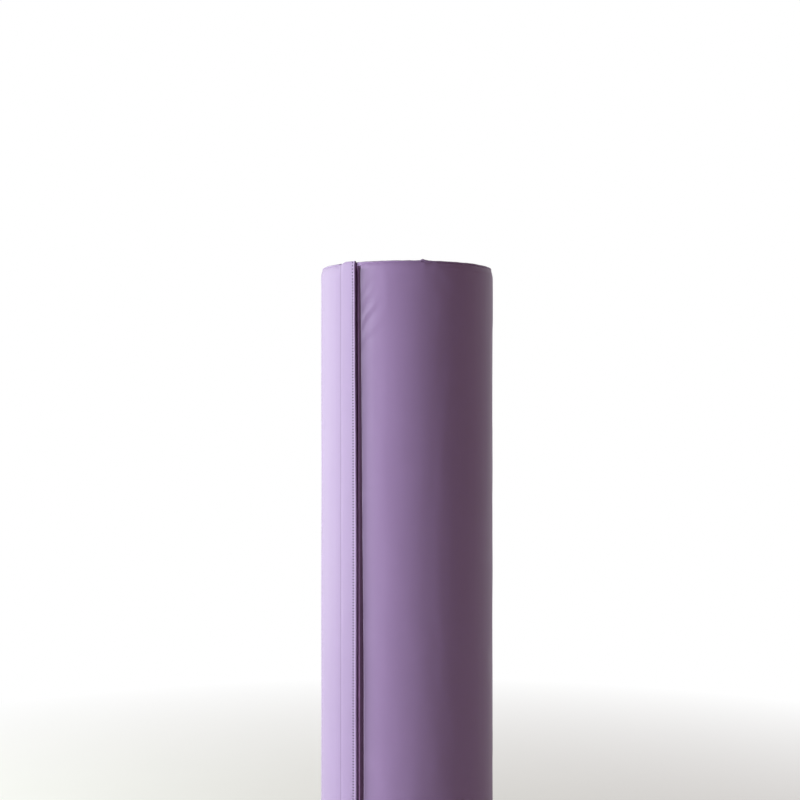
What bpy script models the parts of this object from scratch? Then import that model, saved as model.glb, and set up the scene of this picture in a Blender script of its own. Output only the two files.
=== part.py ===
"""Wrap-round pole pad: two sewn half sleeves, a hinge seam down the back and a closing flap down the front.

Metres, +Z up. The origin is the centre of the sleeve at its base. The opening between the halves faces -Y, the hinge
seam faces +Y, the left half is at -X and the right half at +X. An angle round the sleeve is counted from -Y towards +X.
"""

import math

import bmesh
import bpy
from mathutils import Matrix, Vector

# What the pad goes round, and its overall height
POLE_RADIUS = 0.1016
POLE_CLEARANCE = 0.0003
HEIGHT = 1.2192

# Materials through the wall, and the gap kept between touching pieces
LINING_THICKNESS = 0.0008
FOAM_THICKNESS = 0.0245
COVER_THICKNESS = 0.0009
GUSSET_THICKNESS = 0.0008
FIT = 0.0003

# The rounded ends of the sleeve, where the cover is drawn in to its seam
SHOULDER_INSET = 0.006
SHOULDER_DROP = 0.015
SEAM_ANGLE = 30.0
WELT_RADIUS = 0.0015

# The hinge seam down the back
BEAD_RADIUS = 0.002

# The flap and the hook-and-loop closure, as widths round the sleeve
FLAP_END_INSET = 0.0025
FLAP_END_MARGIN = 0.0006
FLAP_END_ANGLE = 25.0
FACING_THICKNESS = 0.0008
FACING_SETBACK = 0.0012
TAPE_WIDTH = 0.0254
TAPE_START = 0.0044
HEM_WIDTH = 0.0040
HOOK_THICKNESS = 0.0012
LOOP_THICKNESS = 0.0012
GROOVE_MARGIN = 0.0015
GROOVE_RISE = 0.022

# Rows of stitching, as places round the sleeve
STITCH_WIDTH = 0.0009
STITCH_HEIGHT = 0.0005
STITCH_INSET = 0.0010
COVER_EDGE_ROW = 0.0048
HINGE_ROW = 0.0065

# Fineness of the round shapes
FACET = 5.0
FINE_FACET = 2.5
SHOULDER_STEPS = 3
CAP_STEPS = 2
WELT_SIDES = 8
BEAD_SIDES = 12

# Radii and levels that follow from the sizes above
LINING_INNER = POLE_RADIUS + POLE_CLEARANCE
LINING_OUTER = LINING_INNER + LINING_THICKNESS
FOAM_INNER = LINING_OUTER + FIT
FOAM_OUTER = FOAM_INNER + FOAM_THICKNESS
COVER_OFFSET = FIT + COVER_THICKNESS
COVER_INNER = FOAM_OUTER + FIT
COVER_OUTER = FOAM_OUTER + COVER_OFFSET
SHOULDER_RADIUS = FOAM_OUTER - SHOULDER_INSET
SHOULDER_LEVEL = HEIGHT - COVER_OFFSET - SHOULDER_DROP
HINGE_RADIUS = COVER_INNER + BEAD_RADIUS
GROOVE_DEPTH = FIT + LOOP_THICKNESS + FIT + HOOK_THICKNESS + FIT + FACING_THICKNESS + FIT + COVER_THICKNESS


def turn_of(width, radius=COVER_OUTER):
    """Degrees that a width takes up round the sleeve."""
    return math.degrees(width / radius)


# Places round the sleeve that follow from the closure's widths
TAPE_END = TAPE_START + TAPE_WIDTH
FLAP_ROOT_ROW = TAPE_START + STITCH_INSET
FLAP_EDGE_ROW = TAPE_END - STITCH_INSET

# Angles that follow from the widths
HALF_GAP = turn_of(FIT / 2, LINING_INNER)
GUSSET_END = HALF_GAP + turn_of(GUSSET_THICKNESS, FOAM_INNER)
FOAM_END = GUSSET_END + turn_of(FIT, FOAM_INNER)
BEAD_GAP = turn_of(BEAD_RADIUS + FIT)
FLAP_EDGE = turn_of(TAPE_END + HEM_WIDTH)
GROOVE_EDGE = FLAP_EDGE + turn_of(GROOVE_MARGIN)
GROOVE_END = GROOVE_EDGE + turn_of(GROOVE_RISE)
BACK = 180.0

VINYL = ("lilac_vinyl", (0.30, 0.19, 0.42), 0.42)
LINING = ("lining_vinyl", (0.27, 0.18, 0.37), 0.55)
FOAM = ("foam", (0.62, 0.60, 0.55), 0.9)
TAPE = ("closure_tape", (0.03, 0.025, 0.04), 0.85)
THREAD = ("thread", (0.36, 0.26, 0.46), 0.6)


def clear_scene():
    """Removes what the scene holds already."""
    for old in list(bpy.data.objects):
        bpy.data.objects.remove(old)


def material(finish):
    """The material of a finish, made at its first use."""
    name, colour, roughness = finish
    found = bpy.data.materials.get(name)
    if found:
        return found
    made = bpy.data.materials.new(name)
    made.use_nodes = True
    shader = made.node_tree.nodes["Principled BSDF"]
    shader.inputs["Base Color"].default_value = (*colour, 1.0)
    shader.inputs["Roughness"].default_value = roughness
    shader.inputs["Metallic"].default_value = 0.0
    return made


def body(name, pivot):
    """An empty on a body's joint axis, which carries its pieces."""
    empty = bpy.data.objects.new(name, None)
    empty.location = pivot
    bpy.context.collection.objects.link(empty)
    return empty


def add_piece(name, bm, finish, carrier):
    """Turns a finished bmesh into a named piece that hangs on its body's empty."""
    bmesh.ops.recalc_face_normals(bm, faces=bm.faces)
    mesh = bpy.data.meshes.new(name)
    bm.to_mesh(mesh)
    bm.free()
    mesh.transform(Matrix.Translation(-carrier.location))
    mesh.shade_smooth()
    mesh.set_sharp_from_angle(angle=math.radians(40.0))
    mesh.materials.append(material(finish))
    piece = bpy.data.objects.new(name, mesh)
    piece.parent = carrier
    bpy.context.collection.objects.link(piece)
    return piece


def groove_depth(angle):
    """How far the closed flap presses the right half in at an angle, easing out past the flap's edge."""
    ease = (angle - GROOVE_EDGE) / (GROOVE_END - GROOVE_EDGE)
    ease = min(max(ease, 0.0), 1.0)
    return GROOVE_DEPTH * (1.0 - ease * ease * (3.0 - 2.0 * ease))


def press_in(bm):
    """Presses the outer side of a right-hand piece in under the flap; the bore keeps its radius."""
    for vert in bm.verts:
        radius = math.hypot(vert.co.x, vert.co.y)
        angle = math.degrees(math.atan2(vert.co.x, -vert.co.y))
        share = (radius - FOAM_INNER) / (FOAM_OUTER - FOAM_INNER)
        share = min(max(share, 0.0), 1.0)
        pressed = radius - share * groove_depth(angle)
        vert.co.x *= pressed / radius
        vert.co.y *= pressed / radius


def stations(start, end):
    """Angles from start to end where a swept piece has a section, closer together near the groove."""
    found = [start]
    angle = math.ceil(start / FINE_FACET) * FINE_FACET
    while angle < end:
        fine = 0.0 < angle < GROOVE_END + FACET
        if angle > start and (fine or angle % FACET == 0.0):
            found.append(angle)
        angle += FINE_FACET
    return found + [end]


def sweep(outline, start, end):
    """A closed solid: an outline of (radius, height) points swept round the sleeve's axis from start to end."""
    bm = bmesh.new()
    verts = [bm.verts.new((0.0, -radius, height)) for radius, height in outline]
    section = bm.faces.new(verts)
    bmesh.ops.rotate(bm, verts=verts, cent=(0, 0, 0), matrix=Matrix.Rotation(math.radians(start), 3, "Z"))
    angles = stations(start, end)
    moving = [section, *section.edges, *section.verts]
    for here, there in zip(angles, angles[1:]):
        spun = bmesh.ops.spin(
            bm,
            geom=moving,
            cent=(0, 0, 0),
            axis=(0, 0, 1),
            angle=math.radians(there - here),
            steps=1,
        )
        moving = spun["geom_last"]
    return bm


def swept_piece(name, outline, start, end, finish, carrier, pressed=False):
    """A named piece swept round the sleeve's axis."""
    bm = sweep(outline, start, end)
    if pressed:
        press_in(bm)
    return add_piece(name, bm, finish, carrier)


def shoulder_point(offset, angle):
    """The point that lies offset outside the foam's rounded top shoulder, at an angle from the vertical."""
    turn = math.radians(angle)
    radius = SHOULDER_RADIUS + (SHOULDER_INSET + offset) * math.sin(turn)
    height = SHOULDER_LEVEL + (SHOULDER_DROP + offset) * math.cos(turn)
    return (radius, height)


def spread(first, last, steps):
    """Evenly spaced values from first to last."""
    return [first + (last - first) * step / steps for step in range(steps + 1)]


def upside_down(points):
    """The same points at the other end of the sleeve, in reverse order."""
    return [(radius, HEIGHT - height) for radius, height in reversed(points)]


def side_curve(offset, first):
    """Points down the outer side, offset outside the foam, from one seam to the other."""
    top = [shoulder_point(offset, angle) for angle in spread(first, 90.0, SHOULDER_STEPS)]
    return top + upside_down(top)


def skin_outline(first):
    """The cover's section, between the seams at both rims."""
    return side_curve(COVER_OFFSET, first) + side_curve(FIT, first)[::-1]


def foam_outline():
    """The foam's section, with its outer corners rounded."""
    outer = side_curve(0.0, 0.0)
    top = outer[0][1]
    return outer + [(FOAM_INNER, HEIGHT - top), (FOAM_INNER, top)]


def lining_outline():
    """The lining's section, a plain strip between the end bands."""
    top = HEIGHT - COVER_OFFSET
    low = HEIGHT - top
    return [(LINING_INNER, low), (LINING_OUTER, low), (LINING_OUTER, top), (LINING_INNER, top)]


def cap_outline(last):
    """The top end band's section: flat over the foam, then down the shoulder to the welt."""
    outer = [shoulder_point(COVER_OFFSET, angle) for angle in spread(0.0, last, CAP_STEPS)]
    inner = [shoulder_point(FIT, angle) for angle in spread(0.0, last, CAP_STEPS)]
    level = HEIGHT - COVER_THICKNESS
    return [(LINING_INNER, HEIGHT)] + outer + inner[::-1] + [(LINING_INNER, level)]


def circle_outline(centre, radius, sides):
    """A round section about a (radius, height) point."""
    angles = [2.0 * math.pi * (side + 0.5) / sides for side in range(sides)]
    return [(centre[0] + radius * math.cos(a), centre[1] + radius * math.sin(a)) for a in angles]


def seam_half_angle():
    """Degrees along the shoulder between the welt's centre and the edge of a skin that it parts."""
    turn = math.radians(SEAM_ANGLE)
    along = (SHOULDER_INSET + COVER_OFFSET) * math.cos(turn)
    down = (SHOULDER_DROP + COVER_OFFSET) * math.sin(turn)
    return math.degrees((WELT_RADIUS + FIT) / math.hypot(along, down))


def make_half(side, carrier, mirror, pressed):
    """One half sleeve: foam in a pocket of cover, lining, end bands and gussets, with a welt at each rim."""

    def piece(name, outline, start, end, finish):
        first, last = (start, BACK - end) if mirror > 0 else (end - BACK, -start)
        swept_piece(f"{side}_{name}", outline, first, last, finish, carrier, pressed)

    reach = seam_half_angle()
    cap = cap_outline(SEAM_ANGLE - reach)
    welt = circle_outline(shoulder_point(FIT + WELT_RADIUS, SEAM_ANGLE), WELT_RADIUS, WELT_SIDES)
    piece("foam", foam_outline(), FOAM_END, FOAM_END, FOAM)
    piece("cover", skin_outline(SEAM_ANGLE + reach), HALF_GAP, BEAD_GAP, VINYL)
    piece("lining", lining_outline(), HALF_GAP, HALF_GAP, LINING)
    piece("top_band", cap, HALF_GAP, HALF_GAP, VINYL)
    piece("bottom_band", upside_down(cap), HALF_GAP, HALF_GAP, VINYL)
    piece("top_welt", welt, HALF_GAP, HALF_GAP, VINYL)
    piece("bottom_welt", upside_down(welt), HALF_GAP, HALF_GAP, VINYL)
    piece("front_gusset", foam_outline(), HALF_GAP, BACK - GUSSET_END, VINYL)
    piece("back_gusset", foam_outline(), BACK - GUSSET_END, HALF_GAP, VINYL)


def make_hinge_bead(carrier):
    """The sewn bead on the hinge axis, between the rounded ends of the sleeve."""
    bm = bmesh.new()
    length = 2.0 * SHOULDER_LEVEL - HEIGHT
    bmesh.ops.create_cone(
        bm,
        cap_ends=True,
        segments=BEAD_SIDES,
        radius1=BEAD_RADIUS,
        radius2=BEAD_RADIUS,
        depth=length,
    )
    bmesh.ops.translate(bm, vec=(0.0, HINGE_RADIUS, HEIGHT / 2.0), verts=bm.verts)
    add_piece("hinge_bead", bm, VINYL, carrier)


def strip_outline(inner, thickness):
    """The section of a strip that runs between the rounded ends of the sleeve."""
    low = HEIGHT - SHOULDER_LEVEL
    outer = inner + thickness
    return [(inner, low), (outer, low), (outer, SHOULDER_LEVEL), (inner, SHOULDER_LEVEL)]


def flap_point(offset, angle):
    """A point at the flap's top end, offset outside the flap's outer face."""
    turn = math.radians(angle)
    radius = COVER_OUTER - FLAP_END_INSET + (FLAP_END_INSET + offset) * math.sin(turn)
    drop = HEIGHT - FLAP_END_MARGIN - SHOULDER_LEVEL
    return (radius, SHOULDER_LEVEL + (drop + offset) * math.cos(turn))


def flap_outline():
    """The flap's section: straight, with its two ends bent in a little over the shoulders."""
    turns = spread(FLAP_END_ANGLE, 90.0, SHOULDER_STEPS)
    outer = [flap_point(0.0, angle) for angle in turns]
    inner = [flap_point(-COVER_THICKNESS, angle) for angle in turns]
    outer += upside_down(outer)
    inner += upside_down(inner)
    return outer + inner[::-1]


def make_flap(carrier):
    """The flap with its facing, its hook tape and its two rows of stitching."""
    facing = COVER_OUTER - COVER_THICKNESS - FIT - FACING_THICKNESS
    hook = facing - FIT - HOOK_THICKNESS
    swept_piece("flap_cover", flap_outline(), HALF_GAP, FLAP_EDGE, VINYL, carrier)
    swept_piece(
        "flap_facing",
        strip_outline(facing, FACING_THICKNESS),
        HALF_GAP + turn_of(FACING_SETBACK),
        FLAP_EDGE - turn_of(FACING_SETBACK),
        LINING,
        carrier,
    )
    outline = strip_outline(hook, HOOK_THICKNESS)
    swept_piece("hook_tape", outline, turn_of(TAPE_START), turn_of(TAPE_END), TAPE, carrier)
    add_stitching("flap_root_stitching", turn_of(FLAP_ROOT_ROW), carrier)
    add_stitching("flap_edge_stitching", turn_of(FLAP_EDGE_ROW), carrier)


def make_loop_tape(carrier):
    """The loop tape in the groove of the right half, under the hook tape."""
    outline = strip_outline(COVER_OUTER - GROOVE_DEPTH + FIT, LOOP_THICKNESS)
    swept_piece("loop_tape", outline, turn_of(TAPE_START), turn_of(TAPE_END), TAPE, carrier)


def add_stitching(name, angle, carrier):
    """A row of stitching that lies on the outer face at an angle round the sleeve."""
    half = turn_of(STITCH_WIDTH / 2.0)
    outline = strip_outline(COVER_OUTER + FIT, STITCH_HEIGHT)
    swept_piece(name, outline, angle - half, angle + half, THREAD, carrier)


def main():
    clear_scene()
    left = body("left_half", Vector((0.0, 0.0, 0.0)))
    right = body("right_half", Vector((0.0, HINGE_RADIUS, 0.0)))
    flap = body("flap", Vector((0.0, -COVER_OUTER, 0.0)))
    bpy.context.view_layer.update()
    make_half("left", left, mirror=-1, pressed=False)
    make_half("right", right, mirror=1, pressed=True)
    make_hinge_bead(left)
    add_stitching("left_edge_stitching", -turn_of(COVER_EDGE_ROW), left)
    add_stitching("left_hinge_stitching", turn_of(HINGE_ROW) - BACK, left)
    add_stitching("right_hinge_stitching", BACK - turn_of(HINGE_ROW), right)
    make_loop_tape(right)
    make_flap(flap)


main()
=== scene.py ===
"""Looks of the wrap-round pole pad: vinyl panels over foam, piping, a hinge seam and a hook-and-loop flap.

Metres, +Z up. Places round the sleeve are degrees from -Y towards +X, so the closure is at 0, the left half runs
from -180 to 0 and the right half from 0 to 180. Widths round the sleeve are measured on the cover's outer face.
"""

import logging
import math
import random
from dataclasses import dataclass
from enum import Enum
from functools import cached_property
from typing import Callable, NamedTuple, Sequence

import bmesh
import bpy
import numpy as np
from mathutils import Matrix, Vector


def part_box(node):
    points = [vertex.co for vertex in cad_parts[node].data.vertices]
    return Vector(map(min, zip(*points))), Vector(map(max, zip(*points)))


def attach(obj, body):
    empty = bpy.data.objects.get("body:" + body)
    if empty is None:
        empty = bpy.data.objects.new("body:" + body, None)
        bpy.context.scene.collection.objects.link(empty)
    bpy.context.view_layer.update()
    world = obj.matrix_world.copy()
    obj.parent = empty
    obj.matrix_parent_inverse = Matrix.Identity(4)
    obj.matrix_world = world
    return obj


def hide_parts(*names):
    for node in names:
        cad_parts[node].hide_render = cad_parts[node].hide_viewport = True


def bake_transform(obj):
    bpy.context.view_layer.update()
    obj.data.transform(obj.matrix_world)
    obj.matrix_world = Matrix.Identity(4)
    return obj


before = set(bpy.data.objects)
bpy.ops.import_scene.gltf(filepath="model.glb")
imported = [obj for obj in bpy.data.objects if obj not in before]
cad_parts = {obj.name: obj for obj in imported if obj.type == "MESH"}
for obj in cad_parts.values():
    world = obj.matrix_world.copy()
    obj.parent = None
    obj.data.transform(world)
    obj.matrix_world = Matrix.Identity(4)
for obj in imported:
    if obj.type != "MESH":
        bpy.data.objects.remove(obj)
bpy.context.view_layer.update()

LOG = logging.getLogger("pole_pad")
MM = 0.001
SHARP = math.radians(50.0)
SMOOTHED = {"levels": 1, "render_levels": 1}
ROUND = np.array((1.0, 1.0, 0.0))
Array = np.ndarray
BMesh = bmesh.types.BMesh
Mesh, Piece = bpy.types.Mesh, bpy.types.Object
Material, Socket = bpy.types.Material, bpy.types.NodeSocket
Zone = tuple[float, float, float]
Colour = tuple[float, float, float]
Lay = Callable[[Array, Array], tuple[Array, Array]]


class Side(Enum):
    """The two half sleeves, with the sign of their side of the pad."""

    LEFT = -1
    RIGHT = 1


class Tape(Enum):
    """The two faces of the closure."""

    HOOK = "hook_tape"
    LOOP = "loop_tape"


def smooth(share: Array) -> Array:
    """Eases a share from 0 to 1, and holds it there on either side."""
    held = np.clip(share, 0.0, 1.0)
    return held * held * (3.0 - 2.0 * held)


def bump(where: Array, middle: float, width: float) -> Array:
    """A soft bump of height 1 about a middle."""
    return np.exp(-(((where - middle) / width) ** 2))


def stations(zones: Sequence[Zone]) -> Array:
    """Places along a panel where it has a row of vertices.

    Args:
        zones: (start, end, step) of each stretch, one after another.

    Returns:
        The places, from the first start to the last end.
    """
    found = [np.array([zones[0][0]])]
    for start, end, step in zones:
        count = max(1, round(abs(end - start) / step))
        found.append(np.linspace(start, end, count + 1)[1:])
    return np.concatenate(found)


@dataclass(frozen=True)
class Waves:
    """A gentle unevenness made of a few long waves that cross each other."""

    seed: int
    across: float
    along: float
    count: int = 14

    def at(self, u: Array | float, t: Array | float) -> Array:
        """How high the surface stands, from about -1 to 1.

        Args:
            u: metres across, or 0 where the waves only run along.
            t: metres along, or 0 where they only run across.

        Returns:
            The height at each point.
        """
        dice = random.Random(self.seed)
        total = np.zeros(np.broadcast(u, t).shape)
        for _ in range(self.count):
            turn = dice.uniform(0.0, 2.0 * math.pi)
            pace = dice.uniform(0.6, 1.5)
            phase = dice.uniform(0.0, 2.0 * math.pi)
            waves_u = u * math.cos(turn) / self.across
            waves_t = t * math.sin(turn) / self.along
            total += np.sin(2.0 * math.pi * pace * (waves_u + waves_t) + phase)
        return total / math.sqrt(2.0 * self.count)


class Path:
    """A line of (a, b) points, with its length and the side it faces."""

    def __init__(self, points: Sequence[tuple[float, float]]) -> None:
        """Measures the line.

        Args:
            points: the line's points, close together where it bends.
        """
        self.points = np.array(points, float)
        steps = np.linalg.norm(np.diff(self.points, axis=0), axis=1)
        self.lengths = np.concatenate(([0.0], np.cumsum(steps)))
        slope = np.gradient(self.points, self.lengths, axis=0)
        slope /= np.linalg.norm(slope, axis=1)[:, None]
        self.facing = np.stack((-slope[:, 1], slope[:, 0]), axis=1)

    @property
    def length(self) -> float:
        """The line's whole length."""
        return float(self.lengths[-1])

    def at(self, along: Array, out: Array) -> tuple[Array, Array]:
        """Points beside the line.

        Args:
            along: metres from the line's start.
            out: metres off the line, to the side that it faces.

        Returns:
            The two coordinates of each point.
        """
        both = []
        for axis in (0, 1):
            on_line = np.interp(along, self.lengths, self.points[:, axis])
            sideways = np.interp(along, self.lengths, self.facing[:, axis])
            both.append(on_line + sideways * out)
        return both[0], both[1]


@dataclass(frozen=True)
class Sleeve:
    """The sizes that the pieces share. Those without a value here are read from the frame."""

    height: float
    cover: float
    foam: float
    foam_bore: float
    bore: float
    hinge: float
    cloth: float = 0.9 * MM
    lining_cloth: float = 0.8 * MM
    fit: float = 0.3 * MM
    shoulder_in: float = 6.0 * MM
    shoulder_drop: float = 15.0 * MM
    seam_turn: float = 30.0
    piping: float = 1.5 * MM
    half_gap: float = 0.085
    back_gap: float = 2.3 * MM
    lip_depth: float = 4.0 * MM
    tape_start: float = 4.4 * MM
    tape_width: float = 25.4 * MM
    flap_edge: float = 33.8 * MM
    flap_row: float = 4.7 * MM
    tape_row: float = 28.8 * MM
    cover_row: float = 4.8 * MM
    hinge_row: float = 6.5 * MM
    groove: float = 5.3 * MM
    groove_start: float = 14.7
    groove_wall: float = 4.6
    loop_end: float = 43.4 * MM
    loop_drift: float = 5.4 * MM
    loop_slant: float = 0.6
    loop_top: float = 4.6 * MM
    joint: float = 60.2
    stitches: int = 17 * 17

    @classmethod
    def measured(cls) -> "Sleeve":
        """Reads the main sizes from the frame's nodes."""
        lining = -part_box("left_lining")[0].x
        return cls(
            height=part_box("left_top_band")[1].z,
            cover=-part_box("left_cover")[0].x,
            foam=-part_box("left_foam")[0].x,
            foam_bore=lining + cls.fit,
            bore=lining - cls.lining_cloth,
            hinge=(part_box("hinge_bead")[0].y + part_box("hinge_bead")[1].y) / 2.0,
        )

    @property
    def shoulder(self) -> tuple[float, float]:
        """Radius and level of the middle of the rounded top shoulder."""
        level = self.height - self.cloth - self.fit - self.shoulder_drop
        return self.foam - self.shoulder_in, level

    @property
    def sewn(self) -> tuple[float, float]:
        """The lowest and highest level of the straight part, which the hook tape and the stitching cover."""
        return self.height - self.shoulder[1], self.shoulder[1]

    @property
    def stitch(self) -> float:
        """The pitch of the stitching."""
        low, high = self.sewn
        return (high - low) / self.stitches

    def degrees(self, width: float) -> float:
        """The degrees that a width takes up on the cover's outer face."""
        return math.degrees(width / self.cover)

    def shoulder_point(self, out: float, turn: float) -> tuple[float, float]:
        """A point off the foam's top shoulder.

        Args:
            out: metres off the foam.
            turn: degrees from straight up.

        Returns:
            Its radius and height.
        """
        radius, level = self.shoulder
        angle = math.radians(turn)
        across = (self.shoulder_in + out) * math.sin(angle)
        return radius + across, level + (self.shoulder_drop + out) * math.cos(angle)

    def outer_radius(self, height: Array) -> Array:
        """The radius of the cover's outer face, which draws in over the shoulders.

        Args:
            height: metres above the base.

        Returns:
            The radius at each height.
        """
        radius, level = self.shoulder
        off = self.cloth + self.fit
        past = np.maximum(height - level, self.height - level - height)
        over = np.clip(past / (self.shoulder_drop + off), 0.0, 1.0)
        return radius + (self.shoulder_in + off) * np.sqrt(1.0 - over**2)

    def groove_depth(self, angle: Array, height: Array) -> Array:
        """How far the closed flap presses the right half in.

        Args:
            angle: degrees round the sleeve.
            height: metres above the base.

        Returns:
            The depth at each point. It ends past the flap's edge and is shallower at the rims.
        """
        beside = 1.0 - smooth((angle - self.groove_start) / self.groove_wall)
        from_end = np.minimum(height, self.height - height)
        rim = 1.0 - 0.72 * (1.0 - smooth((from_end - 6.0 * MM) / (9.0 * MM)))
        return self.groove * beside * rim * (angle > -1.0)

    def loop_edge(self, below: Array) -> Array:
        """How far round the loop tape reaches, at some metres below the top. It is sewn a little aslant."""
        return self.loop_end + self.loop_drift * np.clip(below / self.loop_slant, 0.0, 1.0)

    def wrap(self, angle: Array, radius: Array, height: Array, side: Side) -> Array:
        """Puts points of a panel in their place round the pole.

        Args:
            angle: degrees round the sleeve.
            radius: metres from the axis.
            height: metres above the base.
            side: the half that the panel belongs to; the right one is pressed in by the flap.

        Returns:
            The points' coordinates, one row each.
        """
        if side is Side.RIGHT:
            share = np.clip((radius - self.foam_bore) / (self.foam - self.foam_bore), 0.0, 1.0)
            radius = radius - share * self.groove_depth(angle, height)
        turn = np.radians(angle)
        return np.stack((radius * np.sin(turn), -radius * np.cos(turn), height), axis=1)

    def side_path(self, first: float, out: float) -> Path:
        """The line down a panel's outer face, from the top seam over both shoulders to the bottom seam.

        Args:
            first: degrees from straight up where the line starts.
            out: metres off the foam.

        Returns:
            The line, as radius and height. It crowns beside the seams, where the piping lies behind it.
        """
        turns = np.linspace(first, 90.0, 28)
        top = []
        for turn in turns:
            share = (turn - first) / (90.0 - first)
            crown = 0.45 * MM * math.sin(math.pi * min(1.0, share * 1.25)) + 0.9 * MM * math.exp(-share / 0.14)
            top.append(self.shoulder_point(out + crown, turn))
        low = [(radius, self.height - height) for radius, height in reversed(top)]
        span = np.linspace(top[-1][1], low[0][1], 40)[1:-1]
        return Path([*top, *[(top[-1][0], float(z)) for z in span], *low])

    def ring_path(self, last: float) -> Path:
        """The line over the end band, from its lip in the bore to its seam, as radius and height."""
        lip = 1.6 * MM
        rolled = [
            (self.bore + lip - lip * math.cos(a), self.height - lip + lip * math.sin(a))
            for a in np.linspace(0.0, math.pi / 2.0, 7)
        ]
        flat_end = self.shoulder[0]
        flat = [(float(r), self.height) for r in np.linspace(self.bore + lip, flat_end, 12)[1:-1]]
        turned = []
        for turn in np.linspace(0.0, last, 9):
            dip = -1.2 * MM * math.exp(-(last - turn) / 5.5)
            turned.append(self.shoulder_point(self.cloth + self.fit + dip, turn))
        return Path([(self.bore, self.height - self.lip_depth), *rolled, *flat, *turned])


def points_of(mesh: Mesh) -> Array:
    """The mesh's vertices, one row each."""
    found = np.zeros(len(mesh.vertices) * 3, np.float32)
    mesh.vertices.foreach_get("co", found)
    return found.reshape(-1, 3).astype(float)


def normals_of(mesh: Mesh) -> Array:
    """The mesh's vertex normals, one row each."""
    found = np.zeros(len(mesh.vertices) * 3, np.float32)
    mesh.vertex_normals.foreach_get("vector", found)
    return found.reshape(-1, 3).astype(float)


def move_to(mesh: Mesh, places: Array) -> None:
    """Puts the mesh's vertices at these places."""
    mesh.vertices.foreach_set("co", places.astype(np.float32).ravel())
    mesh.update()


def polar(places: Array) -> tuple[Array, Array, Array]:
    """Radius, degrees round the sleeve and height of each place."""
    angle = np.degrees(np.arctan2(places[:, 0], -places[:, 1]))
    return np.hypot(places[:, 0], places[:, 1]), angle, places[:, 2]


def turn_to(mesh: Mesh, way: Array | Sequence[float]) -> None:
    """Flips a mesh that faces against a way, which is one for all its points or one for each."""
    if float(np.sum(normals_of(mesh) * way)) < 0.0:
        mesh.flip_normals()


def mesh_of(bm: BMesh) -> Mesh:
    """The mesh that a bmesh holds. The bmesh is used up."""
    made = bpy.data.meshes.new("unnamed")
    bm.to_mesh(made)
    bm.free()
    return made


def placed(name: str, data: bpy.types.ID) -> Piece:
    """A new object in the scene."""
    made = bpy.data.objects.new(name, data)
    bpy.context.scene.collection.objects.link(made)
    return made


def finished(mesh: Mesh, **modifiers: dict) -> Mesh:
    """A mesh with modifiers applied to it.

    Args:
        mesh: the mesh to finish, which is used up.
        modifiers: settings by type of modifier, such as SUBSURF, in order.

    Returns:
        The finished mesh.
    """
    holder = placed("holder", mesh)
    for kind, settings in modifiers.items():
        modifier = holder.modifiers.new(kind.lower(), kind)
        for name, value in settings.items():
            setattr(modifier, name, value)
    bpy.context.view_layer.update()
    depsgraph = bpy.context.evaluated_depsgraph_get()
    seen = holder.evaluated_get(depsgraph)
    made = bpy.data.meshes.new_from_object(seen, preserve_all_data_layers=True, depsgraph=depsgraph)
    bpy.data.objects.remove(holder)
    bpy.data.meshes.remove(mesh)
    return made


def sewn_up(mesh: Mesh, thickness: float, **smoothing: str) -> Mesh:
    """A panel's mesh with its cloth's thickness.

    Args:
        mesh: the panel's face, which is used up.
        thickness: the cloth's thickness, behind the face.
        smoothing: more settings for the smoothing that comes first.

    Returns:
        The finished mesh.
    """
    mesh = finished(mesh, SUBSURF={**SMOOTHED, **smoothing})
    return finished(mesh, SOLIDIFY={"thickness": thickness, "offset": -1.0})


@dataclass(frozen=True)
class Cut:
    """A flat panel of cloth, cut as a grid whose rows lie closer together where the panel bends or is sewn."""

    across: Sequence[Zone]
    along: Sequence[Zone]

    @property
    def flat(self) -> tuple[float, float]:
        """The panel's width and length."""
        return abs(self.across[-1][1] - self.across[0][0]), abs(self.along[-1][1] - self.along[0][0])

    def mesh(self) -> Mesh:
        """The flat panel as a mesh, whose points also keep their place on it in the attribute "flat"."""
        across, along = stations(self.across), stations(self.along)
        columns, rows = len(across) - 1, len(along) - 1
        bm = bmesh.new()
        bmesh.ops.create_grid(bm, x_segments=columns, y_segments=rows, size=0.5)
        for vert in bm.verts:
            u = across[round((vert.co.x + 0.5) * columns)]
            t = along[round((vert.co.y + 0.5) * rows)]
            vert.co = (u, t, 0.0)
        made = mesh_of(bm)
        places = points_of(made)
        keep_flat(made, places[:, 0], places[:, 1])
        return made


def keep_flat(mesh: Mesh, across: Array, along: Array) -> None:
    """Keeps each point's place on the flat panel in the attribute "flat".

    Args:
        mesh: the panel's mesh.
        across: each point's place across the panel.
        along: each point's place along it.
    """
    layer = mesh.attributes.get("flat") or mesh.attributes.new("flat", "FLOAT_VECTOR", "POINT")
    flat = np.stack((across, along, np.zeros(len(across))), axis=1)
    layer.data.foreach_set("vector", flat.astype(np.float32).ravel())


def flat_of(mesh: Mesh) -> tuple[Array, Array]:
    """Each point's place across and along the flat panel."""
    found = np.zeros(len(mesh.vertices) * 3, np.float32)
    mesh.attributes["flat"].data.foreach_get("vector", found)
    places = found.reshape(-1, 3).astype(float)
    return places[:, 0], places[:, 1]


def lay_out(mesh: Mesh) -> None:
    """Gives the mesh a UV map in metres of the flat panel, in place of the attribute."""
    u, t = flat_of(mesh)
    corner = np.zeros(len(mesh.loops), np.int32)
    mesh.loops.foreach_get("vertex_index", corner)
    layer = mesh.uv_layers.get("flat_cut") or mesh.uv_layers.new(name="flat_cut")
    layer.data.foreach_set("uv", np.stack((u[corner], t[corner]), axis=1).astype(np.float32).ravel())
    mesh.attributes.remove(mesh.attributes["flat"])


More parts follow.
